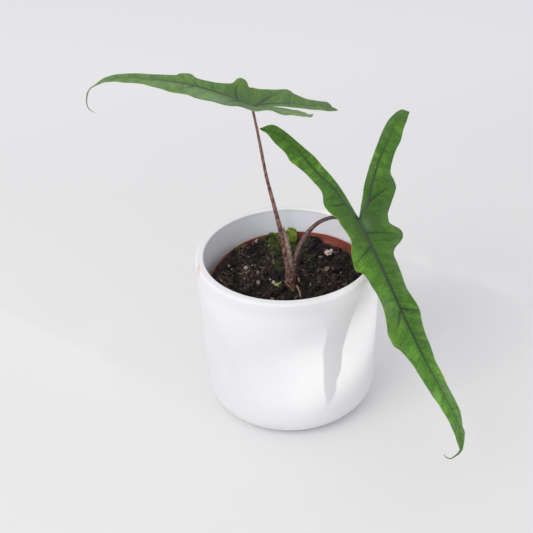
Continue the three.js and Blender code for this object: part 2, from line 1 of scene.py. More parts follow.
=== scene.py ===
import math
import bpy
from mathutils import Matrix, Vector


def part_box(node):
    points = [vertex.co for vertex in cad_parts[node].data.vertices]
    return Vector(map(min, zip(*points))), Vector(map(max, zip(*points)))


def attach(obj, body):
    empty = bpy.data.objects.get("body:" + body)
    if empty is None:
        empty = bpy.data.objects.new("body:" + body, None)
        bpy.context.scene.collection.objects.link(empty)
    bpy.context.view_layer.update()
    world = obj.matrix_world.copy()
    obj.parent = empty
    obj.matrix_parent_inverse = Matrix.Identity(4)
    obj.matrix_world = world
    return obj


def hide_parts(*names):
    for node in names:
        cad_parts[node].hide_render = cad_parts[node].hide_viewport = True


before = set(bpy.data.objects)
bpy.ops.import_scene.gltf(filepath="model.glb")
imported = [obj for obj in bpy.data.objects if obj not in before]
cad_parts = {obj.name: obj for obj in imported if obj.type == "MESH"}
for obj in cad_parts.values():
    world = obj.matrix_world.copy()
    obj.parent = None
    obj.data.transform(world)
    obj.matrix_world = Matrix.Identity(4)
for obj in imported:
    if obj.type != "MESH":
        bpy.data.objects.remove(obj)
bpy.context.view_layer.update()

from types import SimpleNamespace

import bpy
import numpy as np
from mathutils import Matrix, Quaternion, Vector

# A young narrow-leaved alocasia in its nursery pot inside a white cover pot, worked out in millimetres
MM = 0.001


def node_box(node):
    low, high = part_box(node)
    return np.array(low) / MM, np.array(high) / MM


# Driving dimensions, from the frame and from the solids that the pieces stand for
COVER_HIGH = node_box("cover_pot")[1]
COVER_RIM = COVER_HIGH[0]
COVER_HEIGHT = COVER_HIGH[2]
MOUTH = 63.5
COVER = {
    "foot": 67.3, "corner": 17.5, "inner_corner": 12, "wall": 5.5, "edge": 2, "lip": 1.2, "floor": 6,
    "throat": 113, "throat_step": 0.35, "uneven": 0.18,
}
NURSERY_LOW, NURSERY_HIGH = node_box("nursery_pot")
NURSERY_CENTRE = (NURSERY_LOW[:2] + NURSERY_HIGH[:2]) / 2
NURSERY = {
    "height": 106, "rim": 60, "band": 9, "base": 43, "wall": 1.2, "rim_wall": 1.6, "bevel": 2, "lip": 0.55,
}
NURSERY_FOOT = NURSERY_LOW[2]
GAP = 0.3
SOIL_MIDDLE = 104
SOIL_SLOPE = (-0.11, 0.085)
SOIL_HIGHEST = 111.2
SOIL_REACH = 56
HOLLOW_DEPTH = 2
HOLLOW_SPREAD = 200
STEM = np.array([3.4, -8])

# The two leaves, drawn flat first: a runs from the top of the stalk to the tip, v to the side
LOWER_LEAF = {
    "axis": [
        [-110, 28, 62, 240], [-83, 37, 51, 216], [-57, 43.5, 35, 190], [-26, 49, 14, 171],
        [0, 53, -8, 160], [25.5, 59.5, -31, 151.5], [51, 67, -53, 141], [81.5, 76, -78, 126],
        [117, 88.5, -103, 104.5], [146, 101, -119, 83], [168, 109.5, -128, 65.5], [178, 111.5, -131, 56],
        [187, 112.7, -133, 47.3], [191.5, 111.4, -134, 44], [195.5, 109.4, -134, 40.8],
        [200.5, 105.7, -133.5, 38.1], [204, 102.9, -133, 39.1], [207, 100.8, -132.5, 41],
    ],
    "roll": [[-110, -8], [-60, -5], [0, 0], [80, -6], [160, -12], [207, -12]],
    "lift": [[-110, 6, 6], [0, 10, 10], [207, 12, 12]],
    "droop": [[-110, 0.002, 0.002], [207, 0.006, 0.006]],
    "wave": {"height": 1.1, "length": 33, "shift": 1.4},
    # Painted light and shade on each half of the upper face, along a
    "painted_light_plus": [
        [-90, 0.7], [-55, 0.5], [-25, 0.12], [0, 0.15], [15, 0.25], [40, 0.25], [65, 0.35], [95, 0.38],
        [120, 0.53], [190, 0.5],
    ],
    "painted_light_minus": [
        [-90, 0.68], [-50, 0.5], [-22, 0.08], [0, 0.3], [15, 0.53], [38, 0.55], [65, 0.98], [95, 0.8],
        [125, 0.83], [155, 0.55], [190, 0.5],
    ],
    # Painted shade beside the midrib on each half (plus, minus)
    "shade_beside_rib": (0.35, 0.08),
    "vein_reach": 900,
    # Painted sheen near the margin on each half (plus, minus), and patches of painted sheen
    "painted_sheen_margin": (0.26, 0.12),
    "painted_sheen_spots": [
        [6, 4, 5.5, 2.7, 0.45], [77, -9, 10, 3.5, 0.28], [33, 29, 8, 3, 0.25], [84, -3, 12, 2, 0.2],
    ],
    # Patches of painted highlight
    "painted_highlight_spots": [
        [88, -9, 7, 4, 0.7], [68, -7, 8, 4, 0.5], [44, -15, 9, 6, 0.5], [102, -18, 9, 4, 0.6],
        [10, 20, 7, 4, 0.45], [-40, 24, 9, 5, 0.4], [60, 12, 6, 4, 0.3],
    ],
    "length": 207,
    "rib": {"wide": 1.75, "narrow": 0.5, "lobe_wide": 1.25, "lobe_narrow": 0.35},
    "plus": {
        "margin": [
            [6, 21], [12, 20.4], [18.5, 26.5], [24.3, 26.2], [29, 22], [33, 16.2], [38, 12.7], [46, 12.1],
            [54, 12], [67, 10.8], [80, 12.9], [86, 13], [92, 11.3], [101, 9.5], [111, 8.5], [122, 7.2],
            [133, 6.6], [141, 5.9], [152, 6.4], [161, 6.2], [166, 4.9], [171.5, 3.5], [175, 4.4],
            [178.5, 4.3], [183, 3.1], [187, 1.6], [195, 0.9], [207, 0],
        ],
        "lobe_rib": [
            [0, 0], [-5.4, 5], [-14.4, 11.3], [-25.7, 15.8], [-39, 23.2], [-48.8, 29], [-57.2, 36.3],
            [-64.3, 43.6], [-69.3, 49.5], [-72.6, 57], [-74, 67],
        ],
        "lobe_outer": [
            [6, 21], [0.5, 22.6], [-9.5, 27.5], [-18.8, 32.6], [-23.7, 35.1], [-29.7, 35.3], [-36.3, 35],
            [-43.7, 38], [-52.8, 44], [-59.5, 50.9], [-65.6, 56.3], [-70.4, 62.8], [-74, 67],
        ],
        "lobe_inner": [
            [-1.2, 0.7], [-19.4, 7.6], [-30.5, 12], [-45, 20], [-56, 27.2], [-63.5, 34], [-69, 40.6],
            [-73.5, 49], [-76, 59.6], [-74, 67],
        ],
    },
    "minus": {
        "margin": [
            [3, -15.7], [9, -13.7], [14.5, -13], [20, -13.3], [30.5, -17.9], [37, -19.8], [44.5, -20],
            [46.8, -16.2], [51, -14.5], [64.5, -13.4], [72, -12.4], [79, -13.1], [88.5, -16], [93, -18.3],
            [98, -19.2], [103, -18.6], [107, -15.1], [113, -12.5], [121, -10.6], [130, -10.3],
            [138, -9.7], [147, -7.9], [157, -6.9], [167, -6.2], [175, -4.8], [183, -2.9], [187, -2.2],
            [191, -1], [195, -0.9], [207, 0],
        ],
        "lobe_rib": [
            [0, 0], [-10.3, -4.4], [-17.8, -8.2], [-30, -12.8], [-41.3, -19], [-51.5, -24.2],
            [-61.3, -29.8], [-68, -34.2], [-76, -40.5], [-85, -47.5], [-94, -57],
        ],
        "lobe_outer": [
            [3, -15.7], [-1.6, -16.4], [-6.5, -19.6], [-16, -22.8], [-27, -22.6], [-36.6, -26],
            [-48.7, -31], [-55.3, -36.2], [-60.6, -41], [-66.5, -43.2], [-75, -48.6], [-86.3, -52.8],
            [-91.5, -56], [-94, -57],
        ],
        "lobe_inner": [
            [-1.2, 0.7], [-15.4, -2.7], [-28.6, -6.4], [-39.2, -10.1], [-48.3, -14.3], [-59.7, -21],
            [-67.7, -28], [-79.3, -37], [-90, -43.8], [-93.6, -48.5], [-94, -57],
        ],
    },
    "tips": [[-74, 67, 2.0], [-94, -57, 2.0], [207, 0, 11.0]],
    "grid": (260, 90, 20),
    "seed": 3,
    "veins": [
        [[14, 0], [16.7, 10.7], [22.2, 22.5]],
        [[26, 0], [31.3, -7.2], [38.5, -17], [41.5, -20.5]],
        [[79.7, 0.5], [83.4, 8.4], [87, 11.5]],
        [[81.5, -1], [88.3, -5.8], [97, -14.5]],
        [[-14.4, 11.3], [-21.4, 23.4], [-24.3, 34]],
        [[-14.9, -7], [-14.4, -13.7], [-16, -21.5]],
    ],
}

UPPER_LEAF = {
    "axis": [
        [-56, 30, -16.3, 246], [-35, 11, -8.4, 247.5], [-17.5, -5, -2.5, 248.5], [0, -21, 4.5, 248],
        [12, -31.5, 5.5, 253], [25.5, -44, 7, 258], [39, -56.5, 8.5, 262], [52, -69, 9.5, 265.5],
        [71, -88, 7.5, 270], [86, -102.5, 5.5, 272.5], [102.5, -119, 3.5, 272.9], [107.3, -123, 3, 271.9],
        [112, -126.7, 2.5, 270.3], [116.5, -131.2, 2.5, 267.3], [120.5, -133.6, 2, 263.7],
        [124.4, -134.7, 2, 259.4], [128, -134.7, 2, 255.4], [131.5, -133.3, 2, 251.9],
        [135, -130.2, 2, 249.7],
    ],
    "roll": [[-56, 35], [-20, 21], [25, -10], [80, 3], [135, 3]],
    "lift": [[-56, 15, -4], [0, 30, 10], [60, 0, 18], [135, 0, 18]],
    "droop": [[-56, 0.01, -0.005], [0, 0.037, -0.019], [60, 0.016, 0.003], [135, 0, 0]],
    "wave": {"height": 0.5, "length": 22, "shift": 1.4},
    # Painted light and shade on each half of the upper face, along a
    "painted_light_plus": [[-60, 0.45], [0, 0.4], [6, 0.45], [20, 0.58], [40, 0.6], [60, 0.5], [108, 0.5]],
    "painted_light_minus": [[-60, 0.1], [-10, 0.08], [6, 0.42], [30, 0.3], [60, 0.38], [108, 0.45]],
    # Painted shade beside the midrib on each half (plus, minus)
    "shade_beside_rib": (0.05, 0.15),
    "vein_reach": 55,
    # Painted sheen near the margin on each half (plus, minus), and patches of painted sheen
    "painted_sheen_margin": (0.24, 0.0),
    "painted_sheen_spots": [[30, 7, 18, 4, 0.25], [60, 5, 14, 3, 0.2]],
    # Patches of painted highlight
    "painted_highlight_spots": [
        [14, -14, 6, 4, 0.55], [3, -12, 6, 4, 0.35], [30, -7, 6, 3, 0.35], [50, -5, 8, 3, 0.35],
        [-14, -12, 7, 4, 0.35],
    ],
    "length": 135,
    "rib": {"wide": 1.4, "narrow": 0.4, "lobe_wide": 1.0, "lobe_narrow": 0.3},
    "plus": {
        "margin": [
            [2, 10.5], [6, 9], [10, 9.6], [13, 10.9], [18, 11.1], [24, 11], [28, 10.8], [33, 10.9],
            [40, 10.6], [46, 10.1], [54, 10.4], [60, 10.2], [66, 8.8], [74, 7.6], [82, 6.2], [90, 4.8],
            [97, 3.4], [105, 2.2], [112, 0.9], [116, 0.6], [121, 0.85], [135, 0],
        ],
        "lobe_rib": [
            [0, 0], [-7, 4], [-17, 9.5], [-27, 12.5], [-36, 18.3], [-46, 25.8], [-52.2, 32.4], [-56.5, 43.5],
        ],
        "lobe_outer": [
            [2, 10.5], [-1.3, 11], [-4.7, 13], [-11.4, 15], [-18.8, 15.5], [-24.8, 18.6], [-30, 21],
            [-35.2, 23.2], [-40.6, 26], [-44.7, 27.7], [-49.2, 30.8], [-52.4, 36], [-56.5, 43.5],
        ],
        "lobe_inner": [
            [-1.8, 0], [-10.4, 1.7], [-19.4, 4.2], [-26.5, 6.7], [-31.5, 9.8], [-36.6, 13.6], [-41.6, 18.9],
            [-47, 23.2], [-51.7, 29.1], [-55.5, 36.5], [-56.5, 43.5],
        ],
    },
    "minus": {
        "margin": [
            [4, -14.7], [6.4, -13.8], [8.5, -15.6], [10.9, -16.6], [14.4, -16.4], [16.8, -14.4],
            [17.8, -11.9], [20.4, -10], [28, -7.8], [34, -6.9], [43, -7], [47.5, -9.4], [53.5, -8.6],
            [56, -6.6], [67, -5.6], [82, -5.1], [95, -4.5], [105, -2.5], [112, -0.9], [116, -0.6],
            [121, -0.85], [135, 0],
        ],
        "lobe_rib": [
            [0, 0], [-8, -6.5], [-16, -10], [-24, -15], [-31, -20], [-38, -27], [-44.5, -36], [-50, -46],
        ],
        "lobe_outer": [
            [4, -14.7], [0, -15.8], [-8, -19.4], [-17, -23], [-24, -23.6], [-32.8, -28.6], [-39.1, -33.9],
            [-43, -38.7], [-45.4, -40.2], [-46.8, -40.8], [-48.1, -43.5], [-50, -46],
        ],
        "lobe_inner": [
            [-1.8, 0], [-10, -4.2], [-20, -7.5], [-30.6, -14.4], [-35.1, -17.7], [-40, -21.5],
            [-45.8, -31.5], [-48.9, -40.6], [-50, -46],
        ],
    },
    "tips": [[-56.5, 43.5, 2.5], [-50, -46, 2.5], [135, 0, 17.0]],
    "grid": (200, 70, 16),
    "seed": 6,
    "veins": [
        [[11.5, -0.5], [14.7, -7.6], [13.9, -14.5]],
        [[-2.5, -3], [-6.4, -11.4], [-14.2, -20.5]],
        [[10, 0.5], [15, 5.5], [21, 11]],
        [[-12, 6.5], [-13.5, 10.5], [-16, 14.5]],
        [[44, 0.5], [49, 5], [55, 9.5]],
        [[40, -0.5], [44.5, -4], [49, -8]],
    ],
}

# Stalks: rows of x, y, z and radius; the sheath's rows run down, the others up
UPPER_STALK = [
    [3.4, -8, 96.3, 2.2], [2.9, -8, 101, 3.0], [1.65, -7.6, 107, 3.8], [1.85, -7.1, 113, 3.9],
    [0, -6.1, 124, 2.8], [-1.7, -5.3, 134.6, 2.1], [-5.2, -3.7, 154.8, 1.72], [-9.2, -2, 174.7, 1.42],
    [-13.2, -0.2, 194.8, 1.22], [-15.9, 1.4, 213.2, 1.08], [-18.2, 2.9, 229.9, 0.96], [-21, 4.5, 247.2, 0.9],
]
UPPER_SHEATH = [
    [-2.4, -3.9, 153.5, 0.9], [-0.3, -4.9, 143, 1.6], [1.3, -6.0, 133, 2.0], [2.6, -7.2, 122, 2.1],
    [3.2, -8.2, 112, 1.7],
]
LOWER_STALK = [
    [3.6, -7.6, 106, 1.6], [4.4, -7.2, 114.5, 2.1], [5.6, -6.5, 124, 2.3], [7.2, -5.6, 130.2, 2.3],
    [10.7, -3.8, 138.5, 2.1], [16.2, -1.8, 147.2, 1.75], [23.2, 0.3, 153.2, 1.45], [31, 1.3, 156.4, 1.35],
    [38, 0, 157.8, 1.35], [45.5, -4.2, 158.3, 1.4], [53, -8, 159, 1.4],
]


# Reading rows of [place, value, ...] as a smooth curve
def read_rows(rows, at):
    rows = np.asarray(rows, float)
    place, value = rows[:, 0], rows[:, 1:]
    slope = np.empty_like(value)
    slope[0] = (value[1] - value[0]) / (place[1] - place[0])
    slope[-1] = (value[-1] - value[-2]) / (place[-1] - place[-2])
    slope[1:-1] = (value[2:] - value[:-2]) / (place[2:] - place[:-2])[:, None]
    x = np.clip(np.asarray(at, float), place[0], place[-1])
    i = np.clip(np.searchsorted(place, x, side="right") - 1, 0, len(place) - 2)
    span = (place[i + 1] - place[i])[..., None]
    t = ((x - place[i]) / (place[i + 1] - place[i]))[..., None]
    between = value[i] * (2 * t**3 - 3 * t**2 + 1) + value[i + 1] * (3 * t**2 - 2 * t**3)
    return between + span * (slope[i] * (t**3 - 2 * t**2 + t) + slope[i + 1] * (t**3 - t**2))


TINY = 1e-12


def unit(vectors):
    return vectors / np.maximum(np.linalg.norm(vectors, axis=-1, keepdims=True), TINY)


# The length run up at each point of a line, from the lengths of its steps
def running(steps):
    return np.concatenate([[0], np.cumsum(steps)])


def circle(sides):
    return np.linspace(0, 2 * np.pi, sides, endpoint=False)


HASH = (374761393, 668265263, 974634777, 1274126177)
WORD = 0xFFFFFFFF


# Smooth noise from -1 to 1 on points of a lattice, the same on every run
def lattice(cell, seed):
    mixed = cell[..., 0] * HASH[0] + cell[..., 1] * HASH[1] + cell[..., 2] * HASH[2] + seed * HASH[3]
    mixed = mixed & WORD
    mixed = ((mixed ^ (mixed >> 13)) * HASH[3]) & WORD
    return ((mixed ^ (mixed >> 16)) & 0xFFFF) / 32767.5 - 1


def smooth_noise(points, size, seed):
    place = np.asarray(points, float) / size
    cell = np.floor(place).astype(np.int64)
    t = place - cell
    t = t * t * (3 - 2 * t)
    total = 0
    for corner in range(8):
        step = np.array([corner & 1, (corner >> 1) & 1, corner >> 2])
        weight = np.prod(np.where(step == 1, t, 1 - t), axis=-1)
        total = total + weight * lattice(cell + step, seed)
    return total


# A mesh object from points in millimetres, riding on the frame's one body
def add_piece(name, points, faces, material, slot, replaces=(), smooth=True, attributes=None):
    mesh = bpy.data.meshes.new(name)
    mesh.from_pydata((np.asarray(points, float) * MM).tolist(), [], faces)
    mesh.polygons.foreach_set("use_smooth", [smooth] * len(mesh.polygons))
    for label, values in (attributes or {}).items():
        values = np.asarray(values, np.float32)
        kind, field = ("FLOAT", "value") if values.ndim == 1 else ("FLOAT_VECTOR", "vector")
        mesh.attributes.new(label, kind, "POINT").data.foreach_set(field, values.ravel())
    mesh.update()
    mesh.materials.append(material)
    piece = bpy.data.objects.new(name, mesh)
    bpy.context.scene.collection.objects.link(piece)
    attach(piece, "root")
    if replaces:
        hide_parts(*replaces)


# Meshes gathered part by part into one piece
class Gathered:
    def __init__(self):
        self.points = []
        self.faces = []
        self.values = {}
        self.count = 0

    def add(self, points, faces, **values):
        self.points.append(points)
        self.faces.extend(tuple(int(i) + self.count for i in face) for face in faces)
        self.count += len(points)
        for label, value in values.items():
            filled = np.broadcast_to(np.asarray(value, float), (len(points),))
            self.values.setdefault(label, []).append(filled)

    def piece(self, name, material, slot, **options):
        attributes = {label: np.concatenate(parts) for label, parts in self.values.items()}
        points = np.concatenate(self.points)
        add_piece(name, points, self.faces, material, slot, attributes=attributes, **options)


# Node materials
class Shader:
    def __init__(self, name):
        self.material = bpy.data.materials.new(name)
        self.material.use_nodes = True
        self.tree = self.material.node_tree
        self.surface = self.tree.nodes["Principled BSDF"]

    def set(self, **values):
        for socket, value in values.items():
            self.surface.inputs[socket.replace("_", " ")].default_value = value

    def feed(self, value, socket):
        if isinstance(value, bpy.types.NodeSocket):
            self.tree.links.new(value, socket)
        elif value is not None:
            socket.default_value = value

    # A new node with its settings and inputs; what comes back is one of its outputs
    def node(self, kind, output, inputs=None, **settings):
        made = self.tree.nodes.new(kind)
        for key, value in settings.items():
            setattr(made, key, value)
        for label, value in (inputs or {}).items():
            self.feed(value, made.inputs[label])
        return made.outputs[output]

    def attribute(self, name, output="Fac"):
        return self.node("ShaderNodeAttribute", output, attribute_name=name)

    def place(self):
        return self.node("ShaderNodeTexCoord", "Object")

    def part(self, vector, axis):
        return self.node("ShaderNodeSeparateXYZ", axis, {0: vector})

    def stretched(self, vector, *scale):
        return self.node("ShaderNodeMapping", "Vector", {"Vector": vector, "Scale": scale})

    def noise(self, vector, scale, detail, roughness=0.55, distortion=0.0):
        given = {"Vector": vector, "Scale": scale, "Detail": detail, "Roughness": roughness}
        return self.node("ShaderNodeTexNoise", "Fac", {**given, "Distortion": distortion})

    # Noise drawn out along the first two axes: waves for each millimetre
    def streaks(self, vector, along, across, detail, distortion=0.0):
        return self.noise(self.stretched(vector, along, across, 1.0), 1.0, detail, distortion=distortion)

    def cells(self, vector, scale):
        return self.node("ShaderNodeTexVoronoi", "Distance", {"Vector": vector, "Scale": scale})

    def math(self, operation, first, second):
        return self.node("ShaderNodeMath", "Value", {0: first, 1: second}, operation=operation)

    def times(self, first, second):
        return self.math("MULTIPLY", first, second)

    def plus(self, first, second):
        return self.math("ADD", first, second)

    def vector_math(self, operation, *vectors):
        given = dict(enumerate(vectors))
        return self.node("ShaderNodeVectorMath", "Value", given, operation=operation)

    def span(self, value, low, high, to_low=0.0, to_high=1.0):
        given = {"Value": value, "From Min": low, "From Max": high, "To Min": to_low, "To Max": to_high}
        return self.node("ShaderNodeMapRange", "Result", given, interpolation_type="SMOOTHSTEP")

    def mix(self, factor, first, second):
        first, second = ((*tint, 1) if isinstance(tint, tuple) else tint for tint in (first, second))
        return self.node("ShaderNodeMix", 2, {0: factor, 6: first, 7: second}, data_type="RGBA")

    # A colour laid over another where a value runs from low to high
    def over(self, under, tint, value, low, high, to_low=0.0, to_high=1.0):
        return self.mix(self.span(value, low, high, to_low, to_high), under, tint)

    def bump(self, height, strength, distance, normal=None):
        given = {"Strength": strength, "Distance": distance * MM, "Height": height, "Normal": normal}
        return self.node("ShaderNodeBump", "Normal", given)

    def finish(self, color, roughness, normal=None):
        for value, label in ((color, "Base Color"), (roughness, "Roughness"), (normal, "Normal")):
            self.feed(value, self.surface.inputs[label])
        return self.material


def scaled(color, amount):
    return tuple(amount * c for c in color)


# Heights and distances of the glaze's painted light and shade and of its rub mark, in metres
INNER_WALL = (0.0647, 0.0655)
ABOVE_FLOOR = (0.003, 0.006)
BELOW_LIP = (0.1262, 0.1285)
LIP = (0.1272, 0.1288)
SHOULDER = (0.112, 0.1245)
RUB_STRETCH = (1.0, 0.18, 0.40)
RUB_PLACE = (-0.0664, -0.0185 * RUB_STRETCH[1], 0.1282 * RUB_STRETCH[2])
SUNLIT_WHITE = (0.95, 0.95, 0.955)


# Painted light and shade on the glaze: the inside wall tinted lighter and cool for sky light, lightest low
# on the left to lift the shade there; painted shade greys the shoulder and the lip, and on their right a
# painted sunlit white stands in for the light falling there
def glaze_painted_light(s, color, inside, shoulder, height, across):
    raised = s.times(s.span(height, *ABOVE_FLOOR), s.span(height, *BELOW_LIP, 1.0, 0.0))
    # Painted light: the inside wall lighter and cool, lightest low on the left
    painted_inner_light = s.mix(s.span(across, -0.058, -0.015), (0.94, 0.97, 1.0), (0.88, 0.93, 1.0))
    painted_inner_light = s.over(painted_inner_light, (0.88, 0.895, 0.965), across, 0.0, 0.035)
    color = s.mix(s.times(inside, raised), color, painted_inner_light)
    # Painted shade greying the shoulder and the lip, with a painted sunlit white on their right
    right = s.span(across, 0.012, 0.050)
    color = s.mix(shoulder, color, s.mix(right, (0.765, 0.765, 0.78), SUNLIT_WHITE))
    return s.over(color, s.mix(right, (0.775, 0.78, 0.795), SUNLIT_WHITE), height, *LIP)


# White ceramic with a satin glaze, a little uneven, with fine pores, a faint rub mark on its left side and
# painted light and shade in its colour
def glaze_material():
    s = Shader("satin_white_glaze")
    place = s.place()
    height, across = s.part(place, "Z"), s.part(place, "X")
    cloud = s.noise(place, 18, 4)
    inside = s.span(s.vector_math("LENGTH", s.stretched(place, 1.0, 1.0, 0.0)), *INNER_WALL, 1.0, 0.0)
    shoulder = s.times(s.span(height, *SHOULDER), s.math("SUBTRACT", 1.0, inside))
    color = s.mix(s.span(cloud, 0.35, 0.65), (0.81, 0.81, 0.825), (0.845, 0.845, 0.855))
    color = glaze_painted_light(s, color, inside, shoulder, height, across)
    color = s.over(color, (0.66, 0.65, 0.63), s.cells(place, 160), 0.03, 0.08, 0.25, 0.0)
    away = s.vector_math("DISTANCE", s.stretched(place, *RUB_STRETCH), RUB_PLACE)
    grain = s.span(s.noise(place, 260, 2), 0.30, 0.52)
    color = s.mix(s.times(s.span(away, 0.0006, 0.0017, 0.95, 0.0), grain), color, (0.72, 0.40, 0.26))
    roughness = s.plus(s.span(s.noise(place, 42, 5), 0.3, 0.7, 0.30, 0.42), s.times(shoulder, 0.3))
    fine = s.bump(s.noise(place, 420, 2), 0.12, 0.25)
    s.set(Coat_Weight=0.06, Coat_Roughness=0.35, Specular_IOR_Level=0.4)
    return s.finish(color, roughness, s.bump(cloud, 0.1, 1.5, fine))


# Injection-moulded terracotta-coloured plastic, scuffed, with painted shade making it duller on the left,
# with soil dust low down
def plastic_material():
    s = Shader("terracotta_plastic")
    place = s.place()
    cloud = s.noise(place, 30, 5)
    scuff = s.noise(s.stretched(place, 1.0, 1.0, 6.0), 120, 4)
    dust = s.noise(place, 330, 6, 0.75)
    dusty = s.plus(dust, s.span(s.part(place, "Z"), 0.1065, 0.1118, 0.16, 0.0))
    color = s.mix(s.span(cloud, 0.3, 0.7), (0.195, 0.030, 0.0145), (0.26, 0.049, 0.026))
    color = s.over(color, (0.34, 0.13, 0.085), scuff, 0.60, 0.75, 0.0, 0.35)
    # Painted shade: the left side tinted duller and greyer
    color = s.over(color, (0.20, 0.085, 0.072), s.part(place, "X"), -0.056, -0.026, 0.85, 0.0)
    color = s.over(color, (0.05, 0.028, 0.02), dusty, 0.56, 0.74, 0.0, 0.85)
    s.set(Specular_IOR_Level=0.35)
    return s.finish(color, s.span(dust, 0.4, 0.7, 0.45, 0.8), s.bump(dust, 0.3, 0.3))


# Peat, nearly black, with brown grains; tone is a value of each crumb
def peat_material(name, darkest, palest):
    s = Shader(name)
    place = s.place()
    grain = s.noise(place, 800, 5, 0.75)
    pale = s.plus(s.times(s.attribute("tone"), 0.8), s.times(s.span(grain, 0.35, 0.7), 0.3))
    pale = s.times(pale, s.span(s.noise(place, 80, 3), 0.35, 0.65, 0.45, 1.1))
    color = s.mix(s.span(pale, 0.12, 1.0), darkest, palest)
    s.set(Specular_IOR_Level=0.35)
    return s.finish(color, s.span(grain, 0.3, 0.7, 0.7, 0.95), s.bump(grain, 0.7, 0.5))


# Perlite: white volcanic grains, stained with peat in their pores
def perlite_material():
    s = Shader("perlite")
    place = s.place()
    color = s.mix(s.attribute("tone"), (0.10, 0.075, 0.07), (0.62, 0.50, 0.44))
    color = s.over(color, (0.14, 0.085, 0.065), s.noise(place, 350, 4), 0.48, 0.72, 0.0, 0.8)
    return s.finish(color, 0.9, s.bump(s.cells(place, 1500), 0.6, 0.35))


# A clouded colour between two, for the small things and the roots
def plain_material(name, low, high, scale, roughness):
    s = Shader(name)
    cloud = s.noise(s.place(), scale, 4)
    color = s.mix(s.span(cloud, 0.3, 0.7), low, high)
    color = s.over(color, high, s.attribute("tone"), 0, 1, 0.0, 0.45)
    return s.finish(color, roughness, s.bump(cloud, 0.3, 0.3))


# Moss: bright tips over a dark base; tip runs from 0 at a leaflet's foot to 1 at its end
def moss_material():
    s = Shader("moss")
    cloud = s.noise(s.place(), 260, 3)
    green = s.mix(s.span(cloud, 0.3, 0.7), (0.26, 0.375, 0.05), (0.50, 0.64, 0.10))
    green = s.mix(s.span(s.attribute("tone"), 0.0, 1.1), (0.040, 0.050, 0.026), green)
    green = s.over(green, (0.03, 0.042, 0.012), s.attribute("tip"), 0.0, 0.8, 0.6, 0.0)
    s.set(Specular_IOR_Level=0.3)
    return s.finish(green, 0.75, s.bump(cloud, 0.3, 0.2))


# Mottled stalk, lengths in millimetres along and round it; sheath is 1 on the pale strip, foot in the soil
def stalk_material(name, base, pale, fleck, coarse):
    s = Shader(name)
    way = s.attribute("way", "Vector")
    sheath, high, low, foot = map(s.attribute, ("sheath", "high", "low", "foot"))
    cloud = s.streaks(way, 0.15, 0.3, 4)
    streak = s.streaks(way, 0.20, 2.0, 3)
    spots = s.streaks(way, coarse, 0.26, 2, 0.7)
    small = s.streaks(way, 1.0, 0.8, 2, 0.8)
    color = s.mix(s.span(cloud, 0.38, 0.66), base, pale)
    color = s.over(color, scaled(base, 0.5), streak, 0.5, 0.72, 0.0, 0.5)
    color = s.over(color, scaled(pale, 1.4), streak, 0.46, 0.30, 0.0, 0.5)
    color = s.mix(s.times(high, 0.6), color, (0.26, 0.155, 0.09))
    color = s.mix(s.times(low, 0.6), color, (0.085, 0.046, 0.041))
    color = s.mix(sheath, color, s.mix(s.span(streak, 0.3, 0.7), (0.22, 0.16, 0.125), (0.42, 0.335, 0.27)))
    dark = s.math("MAXIMUM", s.span(spots, 0.50, 0.55), s.span(small, 0.55, 0.61, 0.0, 0.9))
    dark = s.times(dark, s.span(sheath, 0, 1, 0.92, 0.6))
    color = s.mix(s.times(dark, s.span(high, 0, 1, 1.0, 0.5)), color, fleck)
    color = s.mix(s.times(s.span(small, 0.45, 0.36, 0.0, 0.75), low), color, (0.30, 0.225, 0.18))
    color = s.mix(foot, color, (0.05, 0.026, 0.018))
    return s.finish(color, s.span(cloud, 0.3, 0.7, 0.40, 0.55), s.bump(streak, 0.4, 0.3))


# Values that each point of a leaf carries; rib counts from the nearest rib in half widths of that rib
LEAF_VALUES = ("rib", "strength", "vein", "edge", "core", "glow", "haze", "gleam", "knot", "tip", "upper")


# Patches, bright fields and streaks of green on a leaf's upper face, with painted light and shade by half
# and along the leaf, bright fields of painted light and painted highlights; m holds the values and noises
def leaf_ground(s, look, m):
    shade, bright, spark = look["shade"], look["bright"], look["spark"]
    patchy = s.span(m.patch, 0.36, 0.62)
    green = s.mix(patchy, scaled(shade, 0.72), shade)
    # Painted light and shade: darker or lighter copies of the green
    green = s.mix(m.glow, green, s.mix(patchy, scaled(shade, 1.25), scaled(shade, 1.85)))
    # Bright fields of painted light, where the painted light is strong
    light = s.times(s.span(m.patch, 0.40, 0.74), s.span(m.wide, 0.38, 0.62))
    light = s.times(light, s.times(s.span(m.rib, 1.0, 4.5), s.span(m.glow, 0.0, 0.6)))
    green = s.mix(light, green, bright)
    # Painted highlights: patches of bright green
    green = s.mix(s.times(m.gleam, s.span(m.patch, 0.34, 0.56, 0.3, 1.0)), green, bright)
    green = s.over(green, spark, m.streak, 0.48, 0.72, 0.0, 0.45)
    green = s.over(green, scaled(shade, 0.55), m.streak, 0.48, 0.30, 0.0, 0.45)
    green = s.over(green, spark, m.lines, 0.48, 0.70, 0.0, 0.45)
    green = s.over(green, scaled(shade, 0.5), m.lines, 0.50, 0.32, 0.0, 0.40)
    green = s.over(green, scaled(shade, 0.55), m.fine, 0.46, 0.66, 0.0, 0.45)
    return s.mix(m.core, green, look["core"])


